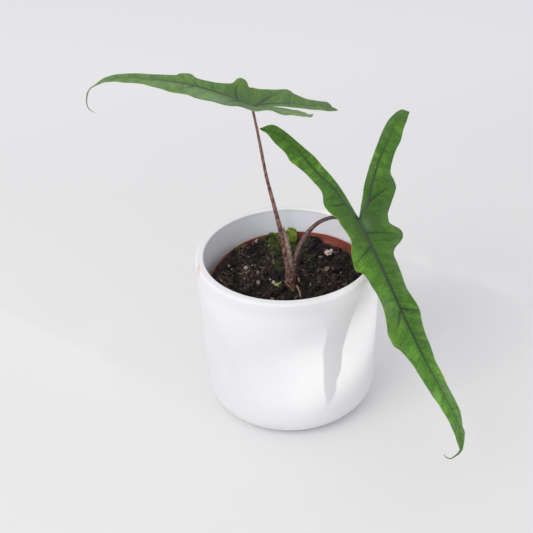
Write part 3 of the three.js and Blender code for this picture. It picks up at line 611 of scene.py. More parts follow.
# Ribs, side veins, painted sheen, the knot at the stalk, the margin and the tips over that green
def leaf_drawing(s, look, m, green):
    green = s.mix(s.times(s.span(m.rib, 2.4, 0.9, 0.0, 0.5), m.strength), green, look["beside"])
    green = s.mix(m.vein, green, look["vein"])
    # Painted highlight: the paler centre line of the raised rib
    centre = s.times(s.span(m.rib, 0.12, 0.40, look["rib_highlight_strength"], 0.0), m.strength)
    covered = s.times(s.span(m.rib, 0.50, 0.86, 1.0, 0.0), s.span(m.strength, *look["fade"], 0.12, 1.0))
    green = s.mix(covered, green, s.mix(centre, look["rib"], look["centre"]))
    # Painted sheen: a grey reflection laid over the green
    green = s.mix(m.haze, green, look["haze"])
    green = s.over(green, scaled(look["rib"], 0.7), m.knot, 0.1, 0.8, 0.0, 0.75)
    margin = s.mix(s.span(m.wide, 0.4, 0.6), scaled(look["shade"], 0.8), scaled(look["bright"], 0.8))
    green = s.over(green, margin, m.edge, 0.25, 0.8, 0.75, 0.0)
    return s.mix(m.tip, green, look["tip"])


def leaf_underside(s, m):
    color = s.mix(s.span(m.patch, 0.3, 0.7), (0.085, 0.165, 0.045), (0.13, 0.23, 0.07))
    color = s.over(color, (0.17, 0.27, 0.10), m.lines, 0.4, 0.7, 0.0, 0.3)
    color = s.mix(s.times(m.vein, 0.8), color, (0.045, 0.075, 0.03))
    rib = s.mix(s.span(m.fine, 0.45, 0.6), (0.12, 0.10, 0.06), (0.055, 0.045, 0.03))
    return s.over(color, rib, m.rib, 0.95, 1.15, 1.0, 0.0)


# Leaf: flat is the place on the flat drawing in millimetres, slant the same along the side veins
def leaf_material(name, look):
    s = Shader(name)
    m = SimpleNamespace(**{label: s.attribute(label) for label in LEAF_VALUES})
    slant = s.attribute("slant", "Vector")
    m.wide = s.streaks(slant, 0.045, 0.03, 2, 0.4)
    m.patch = s.streaks(slant, 0.15, 0.08, 4, 0.4)
    m.streak = s.streaks(slant, 0.42, 0.17, 4, 0.8)
    m.lines = s.streaks(slant, 1.0, 0.30, 4, 0.6)
    m.fine = s.streaks(s.attribute("flat", "Vector"), 0.9, 0.9, 5, 0.5)
    color = s.mix(m.upper, leaf_underside(s, m), leaf_drawing(s, look, m, leaf_ground(s, look, m)))
    gloss = s.span(m.patch, 0.3, 0.7, look["smooth"], look["smooth"] + 0.12)
    gloss = s.plus(gloss, s.span(m.upper, 0, 1, 0.15, 0))
    height = s.plus(s.times(m.lines, 0.8), s.times(m.fine, 0.45))
    s.set(Specular_IOR_Level=look["specular"], Sheen_Weight=look["sheen"])
    s.set(Sheen_Roughness=0.45, Sheen_Tint=(0.85, 1.0, 0.8, 1.0))
    return s.finish(color, gloss, s.bump(height, 0.35, 0.6))


LOWER_LOOK = {
    "shade": (0.052, 0.155, 0.011), "bright": (0.21, 0.45, 0.035), "spark": (0.108, 0.285, 0.026),
    "core": (0.034, 0.088, 0.016), "beside": (0.046, 0.115, 0.028), "vein": (0.012, 0.028, 0.011),
    "rib": (0.016, 0.032, 0.017), "centre": (0.085, 0.115, 0.075), "haze": (0.15, 0.23, 0.12),
    "tip": (0.115, 0.088, 0.026), "rib_highlight_strength": 0.95, "fade": (0.05, 0.6), "smooth": 0.40,
    "specular": 0.30, "sheen": 0.02,
}
UPPER_LOOK = {
    "shade": (0.103, 0.226, 0.046), "bright": (0.25, 0.46, 0.07), "spark": (0.21, 0.37, 0.088),
    "core": (0.058, 0.13, 0.032), "beside": (0.13, 0.205, 0.10), "vein": (0.03, 0.062, 0.025),
    "rib": (0.040, 0.062, 0.036), "centre": (0.10, 0.13, 0.09), "haze": (0.26, 0.33, 0.23),
    "tip": (0.20, 0.26, 0.17), "rib_highlight_strength": 0.7, "fade": (0.25, 0.8), "smooth": 0.44,
    "specular": 0.50, "sheen": 0.10,
}


# Faces of a stack of rings that a point closes at each end
def capped_faces(rings, sides, start, end):
    faces = []
    last = (rings - 1) * sides
    for k in range(sides):
        n = (k + 1) % sides
        faces.append((start, n, k))
        for a in range(0, last, sides):
            b = a + sides
            faces.append((a + k, a + n, b + n, b + k))
        faces.append((end, last + k, last + n))
    return faces


# A round body turned about the upright line through centre: profile rows are [radius, height]
def turned(profile, sides, centre=(0, 0)):
    profile = np.asarray(profile, float)
    angle = circle(sides)
    inner = profile[1:-1]
    rings = np.empty((len(inner), sides, 3))
    rings[..., 0] = centre[0] + inner[:, :1] * np.cos(angle)
    rings[..., 1] = centre[1] + inner[:, :1] * np.sin(angle)
    rings[..., 2] = inner[:, 1:2]
    poles = [[*centre, profile[0, 1]], [*centre, profile[-1, 1]]]
    points = np.concatenate([rings.reshape(-1, 3), poles])
    return points, capped_faces(len(inner), sides, len(points) - 2, len(points) - 1)


# Points of a quarter circle about (r, z), angles in quarter turns
def quarter(r, z, radius, start, stop, steps):
    angle = np.linspace(start, stop, steps + 1) * np.pi / 2
    return [[r + radius * math.cos(t), z + radius * math.sin(t)] for t in angle]


def straight(start, end, steps):
    return [list(np.array(start) + (np.array(end) - start) * k / steps) for k in range(1, steps)]


def cover_pot():
    foot, wall, edge, lip, floor = (COVER[label] for label in ("foot", "wall", "edge", "lip", "floor"))
    corner, inner = COVER["corner"], COVER["inner_corner"]
    outer_foot = quarter(foot - corner, corner, corner, -1, 0, 14)
    outer_rim = quarter(COVER_RIM - edge, COVER_HEIGHT - edge, edge, 0, 1, 6)
    inner_rim = quarter(MOUTH + lip, COVER_HEIGHT - lip, lip, 1, 2, 6)
    inner_foot = quarter(foot - wall - inner, floor + inner, inner, 0, -1, 10)
    throat = [COVER_RIM - wall - COVER["throat_step"], COVER["throat"]]
    profile = [[0, 0], [20, 0], [40, 0], *outer_foot, *straight(outer_foot[-1], outer_rim[0], 14)]
    profile += [*outer_rim, *inner_rim, *straight(inner_rim[-1], throat, 5), throat]
    profile += [*straight(throat, inner_foot[0], 10), *inner_foot, [30, floor], [0, floor]]
    points, faces = turned(profile, 160)
    push = COVER["uneven"] * smooth_noise(points * [1, 1, 0.6], 46, 3)
    outward = unit(points * [1, 1, 0])
    points = points + outward * push[:, None] * np.clip(points[:, 2] / 25, 0, 1)[:, None]
    add_piece("cover_pot_glazed", points, faces, glaze_material(), "cover_pot", replaces=["cover_pot"])


def nursery_inside(height):
    top = NURSERY["rim"] - NURSERY["rim_wall"]
    bottom = NURSERY["base"] - NURSERY["wall"]
    return bottom + (top - bottom) * height / NURSERY["height"]


# Places at a reach and angle from the nursery pot's middle
def around(reach, angle):
    return NURSERY_CENTRE + np.stack([reach * np.cos(angle), reach * np.sin(angle)], -1)


# How far the soft plastic rim stands out or in, for an angle about the nursery pot's middle
OUT_OF_ROUND = [
    [-180, 2.4], [-160, 1.6], [-125, 0.4], [-90, 0], [0, 0.9], [50, 1.1], [75, 0.2], [105, -0.5],
    [138, -1.7], [158, -1.2], [168, -0.2], [175, 1.5], [180, 2.4],
]


def out_of_round(angle):
    return read_rows(OUT_OF_ROUND, np.degrees(angle))[..., 0]


# The lip's inner side: out from the wall's inner face, down from the top
LIP_INSIDE = [[0.75, 0.05], [0.45, 0.5], [0.2, 4]]
WALL_START = 5


# The nursery pot, with a rolled lip and a band under it
def nursery_pot():
    height, rim, band, wall = NURSERY["height"], NURSERY["rim"], NURSERY["band"], NURSERY["wall"]
    lip, bevel, base = NURSERY["lip"], NURSERY["bevel"], NURSERY["base"]
    top, under_band = nursery_inside(height), height - band
    band_foot = [nursery_inside(under_band) + wall, under_band]
    wall_top = [nursery_inside(height - WALL_START), height - WALL_START]
    profile = [[0, 0], [base - bevel, 0], [base, bevel], *straight([base, bevel], band_foot, 8), band_foot]
    profile += [[rim - lip, under_band], [rim, under_band + lip], [rim, height - 3], [rim, height - lip]]
    profile += [[rim - 0.15, height - 0.2], [rim - lip, height]]
    profile += [[top + out, height - down] for out, down in LIP_INSIDE]
    profile += [wall_top, *straight(wall_top, [nursery_inside(6), 6], 8)]
    profile += [[nursery_inside(wall + bevel), wall + bevel], [nursery_inside(0) - bevel, wall], [0, wall]]
    points, faces = turned(profile, 144, NURSERY_CENTRE)
    points[:, 2] += NURSERY_FOOT
    outward = points[:, :2] - NURSERY_CENTRE
    reach = np.linalg.norm(outward, axis=1)
    angle = np.arctan2(outward[:, 1], outward[:, 0])
    upper = np.clip((points[:, 2] - NURSERY_FOOT - 60) / 40, 0, 1)
    points[:, :2] += outward / np.maximum(reach, 1)[:, None] * (upper * out_of_round(angle))[:, None]
    add_piece("nursery_pot_plastic", points, faces, plastic_material(), "nursery_pot",
              replaces=["nursery_pot"])


# Height of the soil, loose and lumpy, higher at the back and left, with a hollow round the stem
def soil_height(x, y):
    lumps = 1.3 * np.sin(0.31 * x + 1.3) * np.cos(0.27 * y)
    lumps = lumps + 0.8 * np.sin(0.55 * x - 0.4 * y + 0.7) + 0.5 * np.sin(0.5 * x + 0.9 * y)
    hollow = HOLLOW_DEPTH * np.exp(-((x - STEM[0]) ** 2 + (y - STEM[1]) ** 2) / HOLLOW_SPREAD)
    return np.minimum(SOIL_MIDDLE + SOIL_SLOPE[0] * x + SOIL_SLOPE[1] * y + lumps - hollow, SOIL_HIGHEST)


# Soil heaped at the wall: angle about the nursery pot's middle, half width of the heap in degrees, rise
HEAPS = [[68, 11, 4.2], [36, 22, 3.6], [128, 26, 1.8], [160, 26, 1.4], [-175, 14, 1.0], [100, 12, 1.5]]


def heaped(x, y):
    out, back = x - NURSERY_CENTRE[0], y - NURSERY_CENTRE[1]
    reach, angle = np.hypot(out, back), np.degrees(np.arctan2(back, out))
    near_wall = np.clip((reach - 40) / 14, 0, 1) ** 2
    rise = 0
    for middle, half, height in HEAPS:
        away = (angle - middle + 180) % 360 - 180
        rise = rise + height * np.exp(-((away / half) ** 2))
    return rise * near_wall


def ground_height(x, y):
    x, y = np.asarray(x, float), np.asarray(y, float)
    spot = np.stack([x, y, np.zeros_like(x)], -1)
    rough = 1.5 * smooth_noise(spot, 8.5, 11) + 0.8 * smooth_noise(spot, 4.0, 12)
    return np.minimum(soil_height(x, y) + heaped(x, y) + rough - 0.5, NURSERY_HIGH[2] - 0.2)


def on_soil(x, y, above=0.0):
    return np.column_stack([x, y, ground_height(x, y) + above])


# One place on the soil, raised
def soil_spot(x, y, above):
    return on_soil([x], [y], above)[0]


# The filling of peat: a finely divided top, then a few rings down the wall to the floor
def soil_bed():
    rings, sides, sunk = 84, 200, 0.4
    angle = circle(sides)
    edge = nursery_inside(SOIL_MIDDLE - NURSERY_FOOT) - GAP
    share = np.linspace(0, 1, rings + 1)[1:] ** 0.8
    spot = around((edge + out_of_round(angle)) * share[:, None], angle)
    stretch = (nursery_inside(soil_height(spot[..., 0], spot[..., 1]) - NURSERY_FOOT) - GAP) / edge
    spot = (NURSERY_CENTRE + (spot - NURSERY_CENTRE) * stretch[..., None]).reshape(-1, 2)
    top = on_soil(spot[:, 0], spot[:, 1], -sunk)
    top[:, 2] += 0.35 * smooth_noise(top, 1.6, 23) + 0.2 * smooth_noise(top, 0.8, 24)
    foot = NURSERY_FOOT + NURSERY["wall"] + GAP
    wall = []
    for height in (90, 60, 30, foot + 2):
        radius = min(nursery_inside(height - NURSERY_FOOT) - GAP, edge)
        wall.append(np.column_stack([around(radius, angle), np.full(sides, height)]))
    ends = [soil_spot(*NURSERY_CENTRE, -sunk), [*NURSERY_CENTRE, foot]]
    points = np.concatenate([top, *wall, ends])
    faces = capped_faces(rings + len(wall), sides, len(points) - 2, len(points) - 1)
    faces = [face[:1] + face[:0:-1] for face in faces]
    tone = 0.3 + 0.35 * smooth_noise(points, 2.2, 5)
    material = peat_material("peat_bed", (0.0055, 0.0047, 0.0047), (0.036, 0.025, 0.022))
    add_piece("soil_bed", points, faces, material, "soil", replaces=["soil"], attributes={"tone": tone})


# An icosahedron, with g the golden ratio
def icosahedron():
    g = (1 + 5**0.5) / 2
    points = [
        [-1, g, 0], [1, g, 0], [-1, -g, 0], [1, -g, 0], [0, -1, g], [0, 1, g], [0, -1, -g], [0, 1, -g],
        [g, 0, -1], [g, 0, 1], [-g, 0, -1], [-g, 0, 1],
    ]
    faces = [
        (0, 11, 5), (0, 5, 1), (0, 1, 7), (0, 7, 10), (0, 10, 11), (1, 5, 9), (5, 11, 4), (11, 10, 2),
        (10, 7, 6), (7, 1, 8), (3, 9, 4), (3, 4, 2), (3, 2, 6), (3, 6, 8), (3, 8, 9), (4, 9, 5),
        (2, 4, 11), (6, 2, 10), (8, 6, 7), (9, 8, 1),
    ]
    return [np.array(p, float) / np.linalg.norm(p) for p in points], faces


# Every face of a round body split into four; points grows by the middles of the edges
def split(points, faces):
    middles = {}
    finer = []

    def middle(i, j):
        key = (min(i, j), max(i, j))
        if key not in middles:
            p = points[i] + points[j]
            points.append(p / np.linalg.norm(p))
            middles[key] = len(points) - 1
        return middles[key]

    for a, b, c in faces:
        ab, bc, ca = middle(a, b), middle(b, c), middle(c, a)
        finer += [(a, ab, ca), (b, bc, ab), (c, ca, bc), (ab, bc, ca)]
    return finer


# A rough closed grain: an icosahedron, split and pushed about
def grain_shape(seed, splits, rough):
    points, faces = icosahedron()
    for _ in range(splits):
        faces = split(points, faces)
    points = np.array(points)
    push = 1 + rough * smooth_noise(points * 3 + 50 * seed, 1.7, seed)
    push = push + 0.4 * rough * smooth_noise(points * 9, 1.9, seed)
    return points * push[:, None], faces


# Random turns, as matrices of unit quaternions
def turns(draw, count):
    w, x, y, z = unit(draw.normal(size=(count, 4))).T
    rows = [
        1 - 2 * (y * y + z * z), 2 * (x * y - z * w), 2 * (x * z + y * w),
        2 * (x * y + z * w), 1 - 2 * (x * x + z * z), 2 * (y * z - x * w),
        2 * (x * z - y * w), 2 * (y * z + x * w), 1 - 2 * (x * x + y * y),
    ]
    return np.stack(rows, -1).reshape(count, 3, 3)


# The turn about the upright line, for rows of points
def swing(angle):
    c, s = math.cos(angle), math.sin(angle)
    return np.array([[c, s, 0], [-s, c, 0], [0, 0, 1]])


def clear_of_stem(spots, clear):
    return np.linalg.norm(spots - STEM, axis=1) > clear


# Places spread over the soil's face, clear of the stem
def soil_places(draw, count, clear=4.5):
    edge = nursery_inside(SOIL_MIDDLE - NURSERY_FOOT) - 1.5
    kept = np.empty((0, 2))
    while len(kept) < count:
        reach = edge * np.sqrt(draw.random(count))
        spots = around(reach, 2 * np.pi * draw.random(count))
        kept = np.concatenate([kept, spots[clear_of_stem(spots, clear)]])
    return kept[:count]


# Grains strewn on the soil, each turned at random and squashed a little
def scatter(gathered, draw, spots, shapes, sizes, flatness, above, tones):
    rotation = turns(draw, len(spots))
    ground = on_soil(spots[:, 0], spots[:, 1])
    for k, spot in enumerate(ground):
        points, faces = shapes[k % len(shapes)]
        scale = sizes[k] * np.array([1, 0.6 + 0.5 * (k % 5) / 4, flatness])
        placed = (points * scale) @ rotation[k].T + spot + [0, 0, above * sizes[k]]
        gathered.add(placed, faces, tone=tones[k])


def soil_crumbs():
    draw = np.random.default_rng(12)
    crumbs, count = Gathered(), 4200
    shapes = [grain_shape(k, 0, 0.5) for k in range(12)]
    sizes = 0.4 + 1.1 * draw.random(count) ** 2.6
    tones = draw.random(count) ** 2.2
    scatter(crumbs, draw, soil_places(draw, count), shapes, sizes, 0.7, 0.2, tones)
    material = peat_material("peat_crumbs", (0.006, 0.0048, 0.0048), (0.088, 0.055, 0.045))
    crumbs.piece("soil_crumbs", material, "soil", smooth=False)
    lumps, count = Gathered(), 480
    shapes = [grain_shape(30 + k, 1, 0.55) for k in range(10)]
    sizes = 1.2 + 2.4 * draw.random(count) ** 2.4
    tones = draw.random(count) ** 2.6
    scatter(lumps, draw, soil_places(draw, count, 7), shapes, sizes, 0.6, 0.1, tones)
    material = peat_material("peat_lumps", (0.0065, 0.005, 0.005), (0.086, 0.054, 0.044))
    lumps.piece("soil_lumps", material, "soil", smooth=False)


# A tube round a line, closed at both ends; size has a row for each point and a radius for each side
def tube(centre, side, up, size):
    count, sides = size.shape
    angle = circle(sides)[None, :, None]
    ring = np.cos(angle) * side[:, None] + np.sin(angle) * up[:, None]
    points = (centre[:, None] + ring * size[..., None]).reshape(-1, 3)
    last = (count - 1) * sides
    faces = []
    for a in range(0, last, sides):
        for k in range(sides):
            n = (k + 1) % sides
            faces.append((a + k, a + n, a + sides + n, a + sides + k))
    faces.append(tuple(range(sides))[::-1])
    faces.append(tuple(range(last, last + sides)))
    return points, faces


# A thin round strand through given points, tapering
def strand(path, thick, sides, taper=0.4):
    tangent = unit(np.gradient(path, axis=0))
    side = unit(np.cross(tangent, [0.31, 0.17, 0.93]))
    radius = thick / 2 * (1 - (1 - taper) * np.linspace(0, 1, len(path)))
    return tube(path, side, np.cross(tangent, side), np.tile(radius[:, None], sides))


def soil_fibres():
    draw = np.random.default_rng(77)
    fibres = Gathered()
    share = np.linspace(0, 1, 8)
    for start in soil_places(draw, 1500, 6):
        length = 3 + 11 * draw.random() ** 1.6
        heading = 2 * np.pi * draw.random()
        angle = heading + 1.1 * draw.normal() * share
        x = start[0] + np.cumsum(np.cos(angle)) * length / 8
        y = start[1] + np.cumsum(np.sin(angle)) * length / 8
        if np.hypot(x - NURSERY_CENTRE[0], y - NURSERY_CENTRE[1]).max() >= SOIL_REACH:
            continue
        path = on_soil(x, y, 0.55)
        path[:, 2] += 1.4 * np.sin(np.pi * share) * draw.random() ** 1.5 + 0.5 * smooth_noise(path, 2.0, 9)
        points, faces = strand(path, 0.25 + 0.75 * draw.random() ** 2.2, 4)
        fibres.add(points, faces, tone=draw.random() ** 2.4)
    material = peat_material("peat_fibres", (0.010, 0.0075, 0.0065), (0.27, 0.175, 0.135))
    fibres.piece("soil_fibres", material, "soil", smooth=True)


# Reddish bits of bark: x, y, length, heading in degrees
BITS = [
    [21.0, 1.6, 3.2, 20], [23.7, -4.2, 3.6, -30], [28.0, 2.6, 3.0, 70], [30.7, 2.5, 2.6, 110],
    [25.8, -6.0, 3.4, 10], [35.3, 6.6, 2.6, 40], [19.5, -8.5, 2.6, 80], [31.5, -3.5, 2.8, -20],
    [-12, 30, 3.5, 60], [-30, 27, 4.2, 75],
]


# Chips of bark and wood: flat rough slabs
def bark_chips():
    draw = np.random.default_rng(5)
    chips = Gathered()
    for x, y in soil_places(draw, 90, 8):
        points, faces = grain_shape(int(draw.integers(1000)), 1, 0.3)
        long = 1.4 + 2.6 * draw.random() ** 1.5
        scale = np.array([long, long * (0.25 + 0.25 * draw.random()), 0.45])
        heading = 2 * np.pi * draw.random()
        tilt = 0.35 * draw.normal()
        c, s = math.cos(tilt), math.sin(tilt)
        lean = np.array([[c, 0, -s], [0, 1, 0], [s, 0, c]])
        placed = points * scale @ lean @ swing(heading) + soil_spot(x, y, 0.9)
        chips.add(placed, faces, tone=draw.random() ** 1.7)
    for x, y, long, heading in BITS:
        points, faces = grain_shape(int(10 * long), 1, 0.35)
        placed = (points * [long / 2, long / 3.4, 0.8]) @ swing(math.radians(heading))
        chips.add(placed + soil_spot(x, y, 1.1), faces, tone=0.75)
    material = peat_material("bark", (0.014, 0.009, 0.0075), (0.19, 0.105, 0.08))
    chips.piece("bark_chips", material, "soil", smooth=False)


# Perlite grains where they lie in the soil: x, y, size, paleness
PERLITE = [
    [-23.1, 42.8, 2.9, 0.44], [-16.6, 42.1, 1.3, 0.75], [-13.5, 40.4, 1.3, 0.65], [-15.1, 46.9, 0.9, 0.5],
    [-45.3, 10.7, 2.3, 0.24], [-32.2, 10.9, 2.5, 0.79], [-27.1, 15.1, 1.1, 0.35], [-25.1, 14.3, 1.2, 0.27],
    [-22.7, 5.4, 3.0, 0.13], [-33.5, -2.5, 1.7, 0.34], [-22.7, -6.1, 2.8, 0.27], [-10.6, 21.5, 1.5, 1.0],
    [33.4, 31.8, 4.3, 0.8], [36.0, 34.6, 3.2, 0.75], [27.1, 28.2, 2.6, 0.07], [30.8, 11.2, 2.9, 0.26],
    [35.1, 13.5, 2.3, 0.4], [13.5, 6.8, 1.1, 0.25], [39.1, 33.5, 2.4, 0.0], [41.5, 33.9, 1.6, 0.07],
    [41.9, 11.9, 1.3, 0.37], [-13.2, -27.0, 3.0, 0.15], [-43.0, 9.9, 1.1, 0.7], [12.2, 10.9, 1.0, 0.29],
    [-8, -44, 1.6, 0.5], [18, -38, 1.9, 0.4], [34, -28, 1.4, 0.6], [-38, -28, 1.6, 0.4], [45, -8, 1.2, 0.3],
]
GRAIN_STRETCH = [0.62, 0.5, 0.45]


def perlite_grains():
    draw = np.random.default_rng(9)
    grains = Gathered()
    for k, (x, y, size, pale) in enumerate(PERLITE):
        points, faces = grain_shape(200 + k, 3, 0.42)
        placed = (points * size * GRAIN_STRETCH) @ turns(draw, 1)[0].T
        grains.add(placed + soil_spot(x, y, 0.7 + 0.25 * size), faces, tone=pale)
    grains.piece("perlite_grains", perlite_material(), "soil", smooth=True)


# Tiny curved leaflets of moss, growing out of given points
def moss_leaflets(gathered, draw, roots, directions, length, width, tone):
    count = len(roots)
    aim = unit(directions + 0.55 * draw.normal(size=(count, 3)))
    side = unit(np.cross(aim, draw.normal(size=(count, 3))))
    bend = unit(np.cross(aim, side))
    size = length * (0.6 + 0.8 * draw.random(count))
    shade = tone * (0.35 + 0.65 * draw.random(count))
    for k, foot in enumerate(roots):
        half = side[k] * width / 2
        knee = foot + aim[k] * size[k] * 0.55
        end = foot + aim[k] * size[k] + bend[k] * size[k] * 0.35
        points = np.array([foot - half * 0.5, foot + half * 0.5, knee + half, knee - half, end])
        gathered.add(points, [(0, 1, 2, 3), (3, 2, 4)], tone=shade[k], tip=[0, 0, 0.6, 0.6, 1.0])


# Moss cushions: name of the piece, node, x, y, size, leaflets, tone, painted light at half height
CUSHIONS = [
    ["moss_tuft_back", "moss_cushion_back", 4.7, 49.8, (4.8, 4.6, 8.5), 4200, 1.25, 0.75],
    ["moss_tuft_left", "moss_cushion_left", -10.4, 49.3, (4.6, 4.4, 4.5), 2400, 0.85, 0.40],
]
CUSHION_RISE = 0.25
# Thin moss on the soil: x, y, half width, half depth, leaflets, tone
FUZZ = [
    [-9, 45, 9, 4, 700, 0.6], [-8, 36, 7, 7, 1100, 0.4], [-7, 24, 6, 8, 1000, 0.32],
    [-6, 12, 4, 6, 420, 0.25], [17, 30, 7, 8, 260, 0.3], [20, 20, 5, 6, 160, 0.3],
    [14, 46, 6, 3, 380, 0.55], [-48, -4, 6, 2, 60, 0.5], [-38, 35, 3, 2, 70, 0.5], [5, 40, 8, 6, 500, 0.5],
]


# One cushion: a rough core that rests on the soil, with leaflets all over it
def moss_cushion(draw, material, name, node, x, y, size, count, tone, light):
    made = Gathered()
    points, faces = grain_shape(7, 3, 0.2)
    size = np.array(size)
    middle = np.array([x, y, float(soil_height(x, y)) + CUSHION_RISE * size[2]])
    core = points * size * 0.7
    low = soil_height(x + core[:, 0], y + core[:, 1]) - middle[2] - 0.6
    core[:, 2] = np.maximum(core[:, 2], low)
    made.add(core + middle, faces, tone=0.12, tip=0.3)
    way = unit(draw.normal(size=(count, 3)) + [0, 0, 0.35])
    bumps = 1 + 0.32 * smooth_noise(way * 3, 1.0, 4) + 0.12 * smooth_noise(way * 9, 1.0, 5)
    roots = middle + way * size * 0.76 * bumps[:, None]
    kept = roots[:, 2] > soil_height(roots[:, 0], roots[:, 1]) - 0.2
    roots, way = roots[kept], way[kept]
    # Painted light and shade: leaflets high on the cushion lighter, low ones darker, then broken up at
    # random
    lit = np.clip((roots[:, 2] - middle[2]) / size[2] + light, 0.12, 1)
    lit = lit * np.clip(0.75 + 0.9 * smooth_noise(roots, 2.2, 6), 0.15, 1.2)
    moss_leaflets(made, draw, roots, way + [0, 0, 0.6], 2.0, 0.40, tone * lit)
    made.piece(name, material, "moss", replaces=[node], smooth=False)


def moss():
    draw = np.random.default_rng(31)
    material = moss_material()
    for cushion in CUSHIONS:
        moss_cushion(draw, material, *cushion)
    fuzz = Gathered()
    for x, y, across, deep, count, tone in FUZZ:
        spots = [x + across * draw.normal(size=count) / 2, y + deep * draw.normal(size=count) / 2]
        spots = np.column_stack(spots)
        reach = np.hypot(spots[:, 0] - NURSERY_CENTRE[0], spots[:, 1] - NURSERY_CENTRE[1])
        spots = spots[(reach < SOIL_REACH) & clear_of_stem(spots, 5.0)]
        roots = on_soil(spots[:, 0], spots[:, 1], 0.5)
        up = np.tile([0, -0.1, 1.0], (len(roots), 1))
        moss_leaflets(fuzz, draw, roots, up, 2.1, 0.32, 0.85 * tone)
    fuzz.piece("moss_fuzz", material, "moss", smooth=False)


# Frames along a leaf's axis, one for each millimetre, carried along it without twisting
class Posture:
    def __init__(self, leaf):
        self.leaf = leaf
        axis = leaf["axis"]
        self.first = math.floor(axis[0][0])
        last = math.ceil(axis[-1][0])
        places = np.arange(self.first, last + 1)
        middle = np.clip(places, axis[0][0] + 0.5, last - 0.5)
        self.along = unit(read_rows(axis, middle + 0.5) - read_rows(axis, middle - 0.5))
        start = -self.first
        self.across = np.zeros_like(self.along)
        self.across[start] = unit(np.cross([0, 0, 1.0], self.along[start]))
        for k in range(start + 1, len(places)):
            self.carry(k - 1, k)
        for k in range(start - 1, -1, -1):
            self.carry(k + 1, k)

    def carry(self, source, target):
        tangent = self.along[target]
        before = self.across[source]
        self.across[target] = unit(before - (before @ tangent) * tangent)

    # Where points of the flat drawing lie in space, in millimetres
    def place(self, a, v):
        leaf = self.leaf
        x = np.clip(a - self.first, 0, len(self.along) - 1.001)
        i = x.astype(int)
        t = (x - i)[..., None]
        along = unit(self.along[i] * (1 - t) + self.along[i + 1] * t)
        across = self.across[i] * (1 - t) + self.across[i + 1] * t
        across = unit(across - (across * along).sum(-1, keepdims=True) * along)
        out = np.cross(along, across)
        roll = np.radians(read_rows(leaf["roll"], a))
        across, out = np.cos(roll) * across + np.sin(roll) * out, np.cos(roll) * out - np.sin(roll) * across
        lifts, droops = read_rows(leaf["lift"], a), read_rows(leaf["droop"], a)
        plus = v >= 0
        lift = np.radians(np.where(plus, lifts[..., 0], lifts[..., 1]))
        droop = np.where(plus, droops[..., 0], droops[..., 1])
        wave = leaf["wave"]
        reached = np.minimum(abs(v) / 20, 1) ** 2
        phase = 2 * np.pi * a / wave["length"] + np.where(plus, 0, wave["shift"])
        raised = abs(v) * np.sin(lift) - droop * v * v + reached * wave["height"] * np.sin(phase)
        return read_rows(leaf["axis"], a) + (v * np.cos(lift))[..., None] * across + raised[..., None] * out


# A line's points with the share of the line in front, counted by length or by the first coordinate
def shares(points, by_length):
    points = np.asarray(points, float)
    run = running(np.hypot(*np.diff(points, axis=0).T) if by_length else abs(np.diff(points[:, 0])))
    return np.column_stack([run / run[-1], points])


def smooth_line(points, steps=24):
    return read_rows(shares(points, True), np.linspace(0, 1, steps + 1))


# Each half of the drawing as three patches between a rib and a margin: rib, margin, number of rows
def leaf_patches(leaf, blade_rows, lobe_rows):
    for half in ("plus", "minus"):
        drawn = leaf[half]
        yield shares([[0, 0], [leaf["length"], 0]], False), shares(drawn["margin"], False), blade_rows
        for side in ("lobe_outer", "lobe_inner"):
            yield shares(drawn["lobe_rib"], True), shares(drawn[side], True), lobe_rows


# The flat drawing as points and quads that turn anticlockwise
def flat_blade(leaf):
    blade_rows, lobe_rows, columns = leaf["grid"]
    known, flat, quads = {}, [], []
    t = np.linspace(0, 1, columns + 1)
    t = (t + 0.3 * t * t) / 1.3
    for rib, margin, rows in leaf_patches(leaf, blade_rows, lobe_rows):
        share = np.linspace(0, 1, rows + 1)
        r, m = read_rows(rib, share), read_rows(margin, share)
        grid = r[:, None] * (1 - t)[None, :, None] + m[:, None] * t[None, :, None]
        index = np.empty(grid.shape[:2], int)
        for place in np.ndindex(index.shape):
            key = (round(grid[place][0] * 1000), round(grid[place][1] * 1000))
            if key not in known:
                known[key] = len(flat)
                flat.append(grid[place])
            index[place] = known[key]
        corners = [index[:-1, :-1], index[1:, :-1], index[1:, 1:], index[:-1, 1:]]
        quads.append(np.stack(corners, -1).reshape(-1, 4))
    flat = np.array(flat)
    faces = []
    for quad in np.concatenate(quads):
        ring = [q for k, q in enumerate(quad) if q != quad[k - 1]]
        if len(set(ring)) < 3:
            continue
        corners = flat[ring]
        ahead = np.roll(corners, -1, axis=0)
        turn = (corners[:, 0] * ahead[:, 1] - corners[:, 1] * ahead[:, 0]).sum()
        faces.append(tuple(ring if turn > 0 else ring[::-1]))
    return flat, faces


# Distance from points to a line of points, and the share of the line where it is nearest
def to_line(points, line):
    start, step = line[:-1], np.diff(line, axis=0)
    length = np.hypot(*step.T)
    run = running(length)
    best = np.full(len(points), 1e9)
    share = np.zeros(len(points))
    for k in range(len(start)):
        away = points - start[k]
        t = np.clip(away @ step[k] / max(length[k] ** 2, TINY), 0, 1)
        distance = np.hypot(*(away - t[:, None] * step[k]).T)
        nearer = distance < best
        best = np.where(nearer, distance, best)
        share = np.where(nearer, (run[k] + t * length[k]) / run[-1], share)
    return best, share


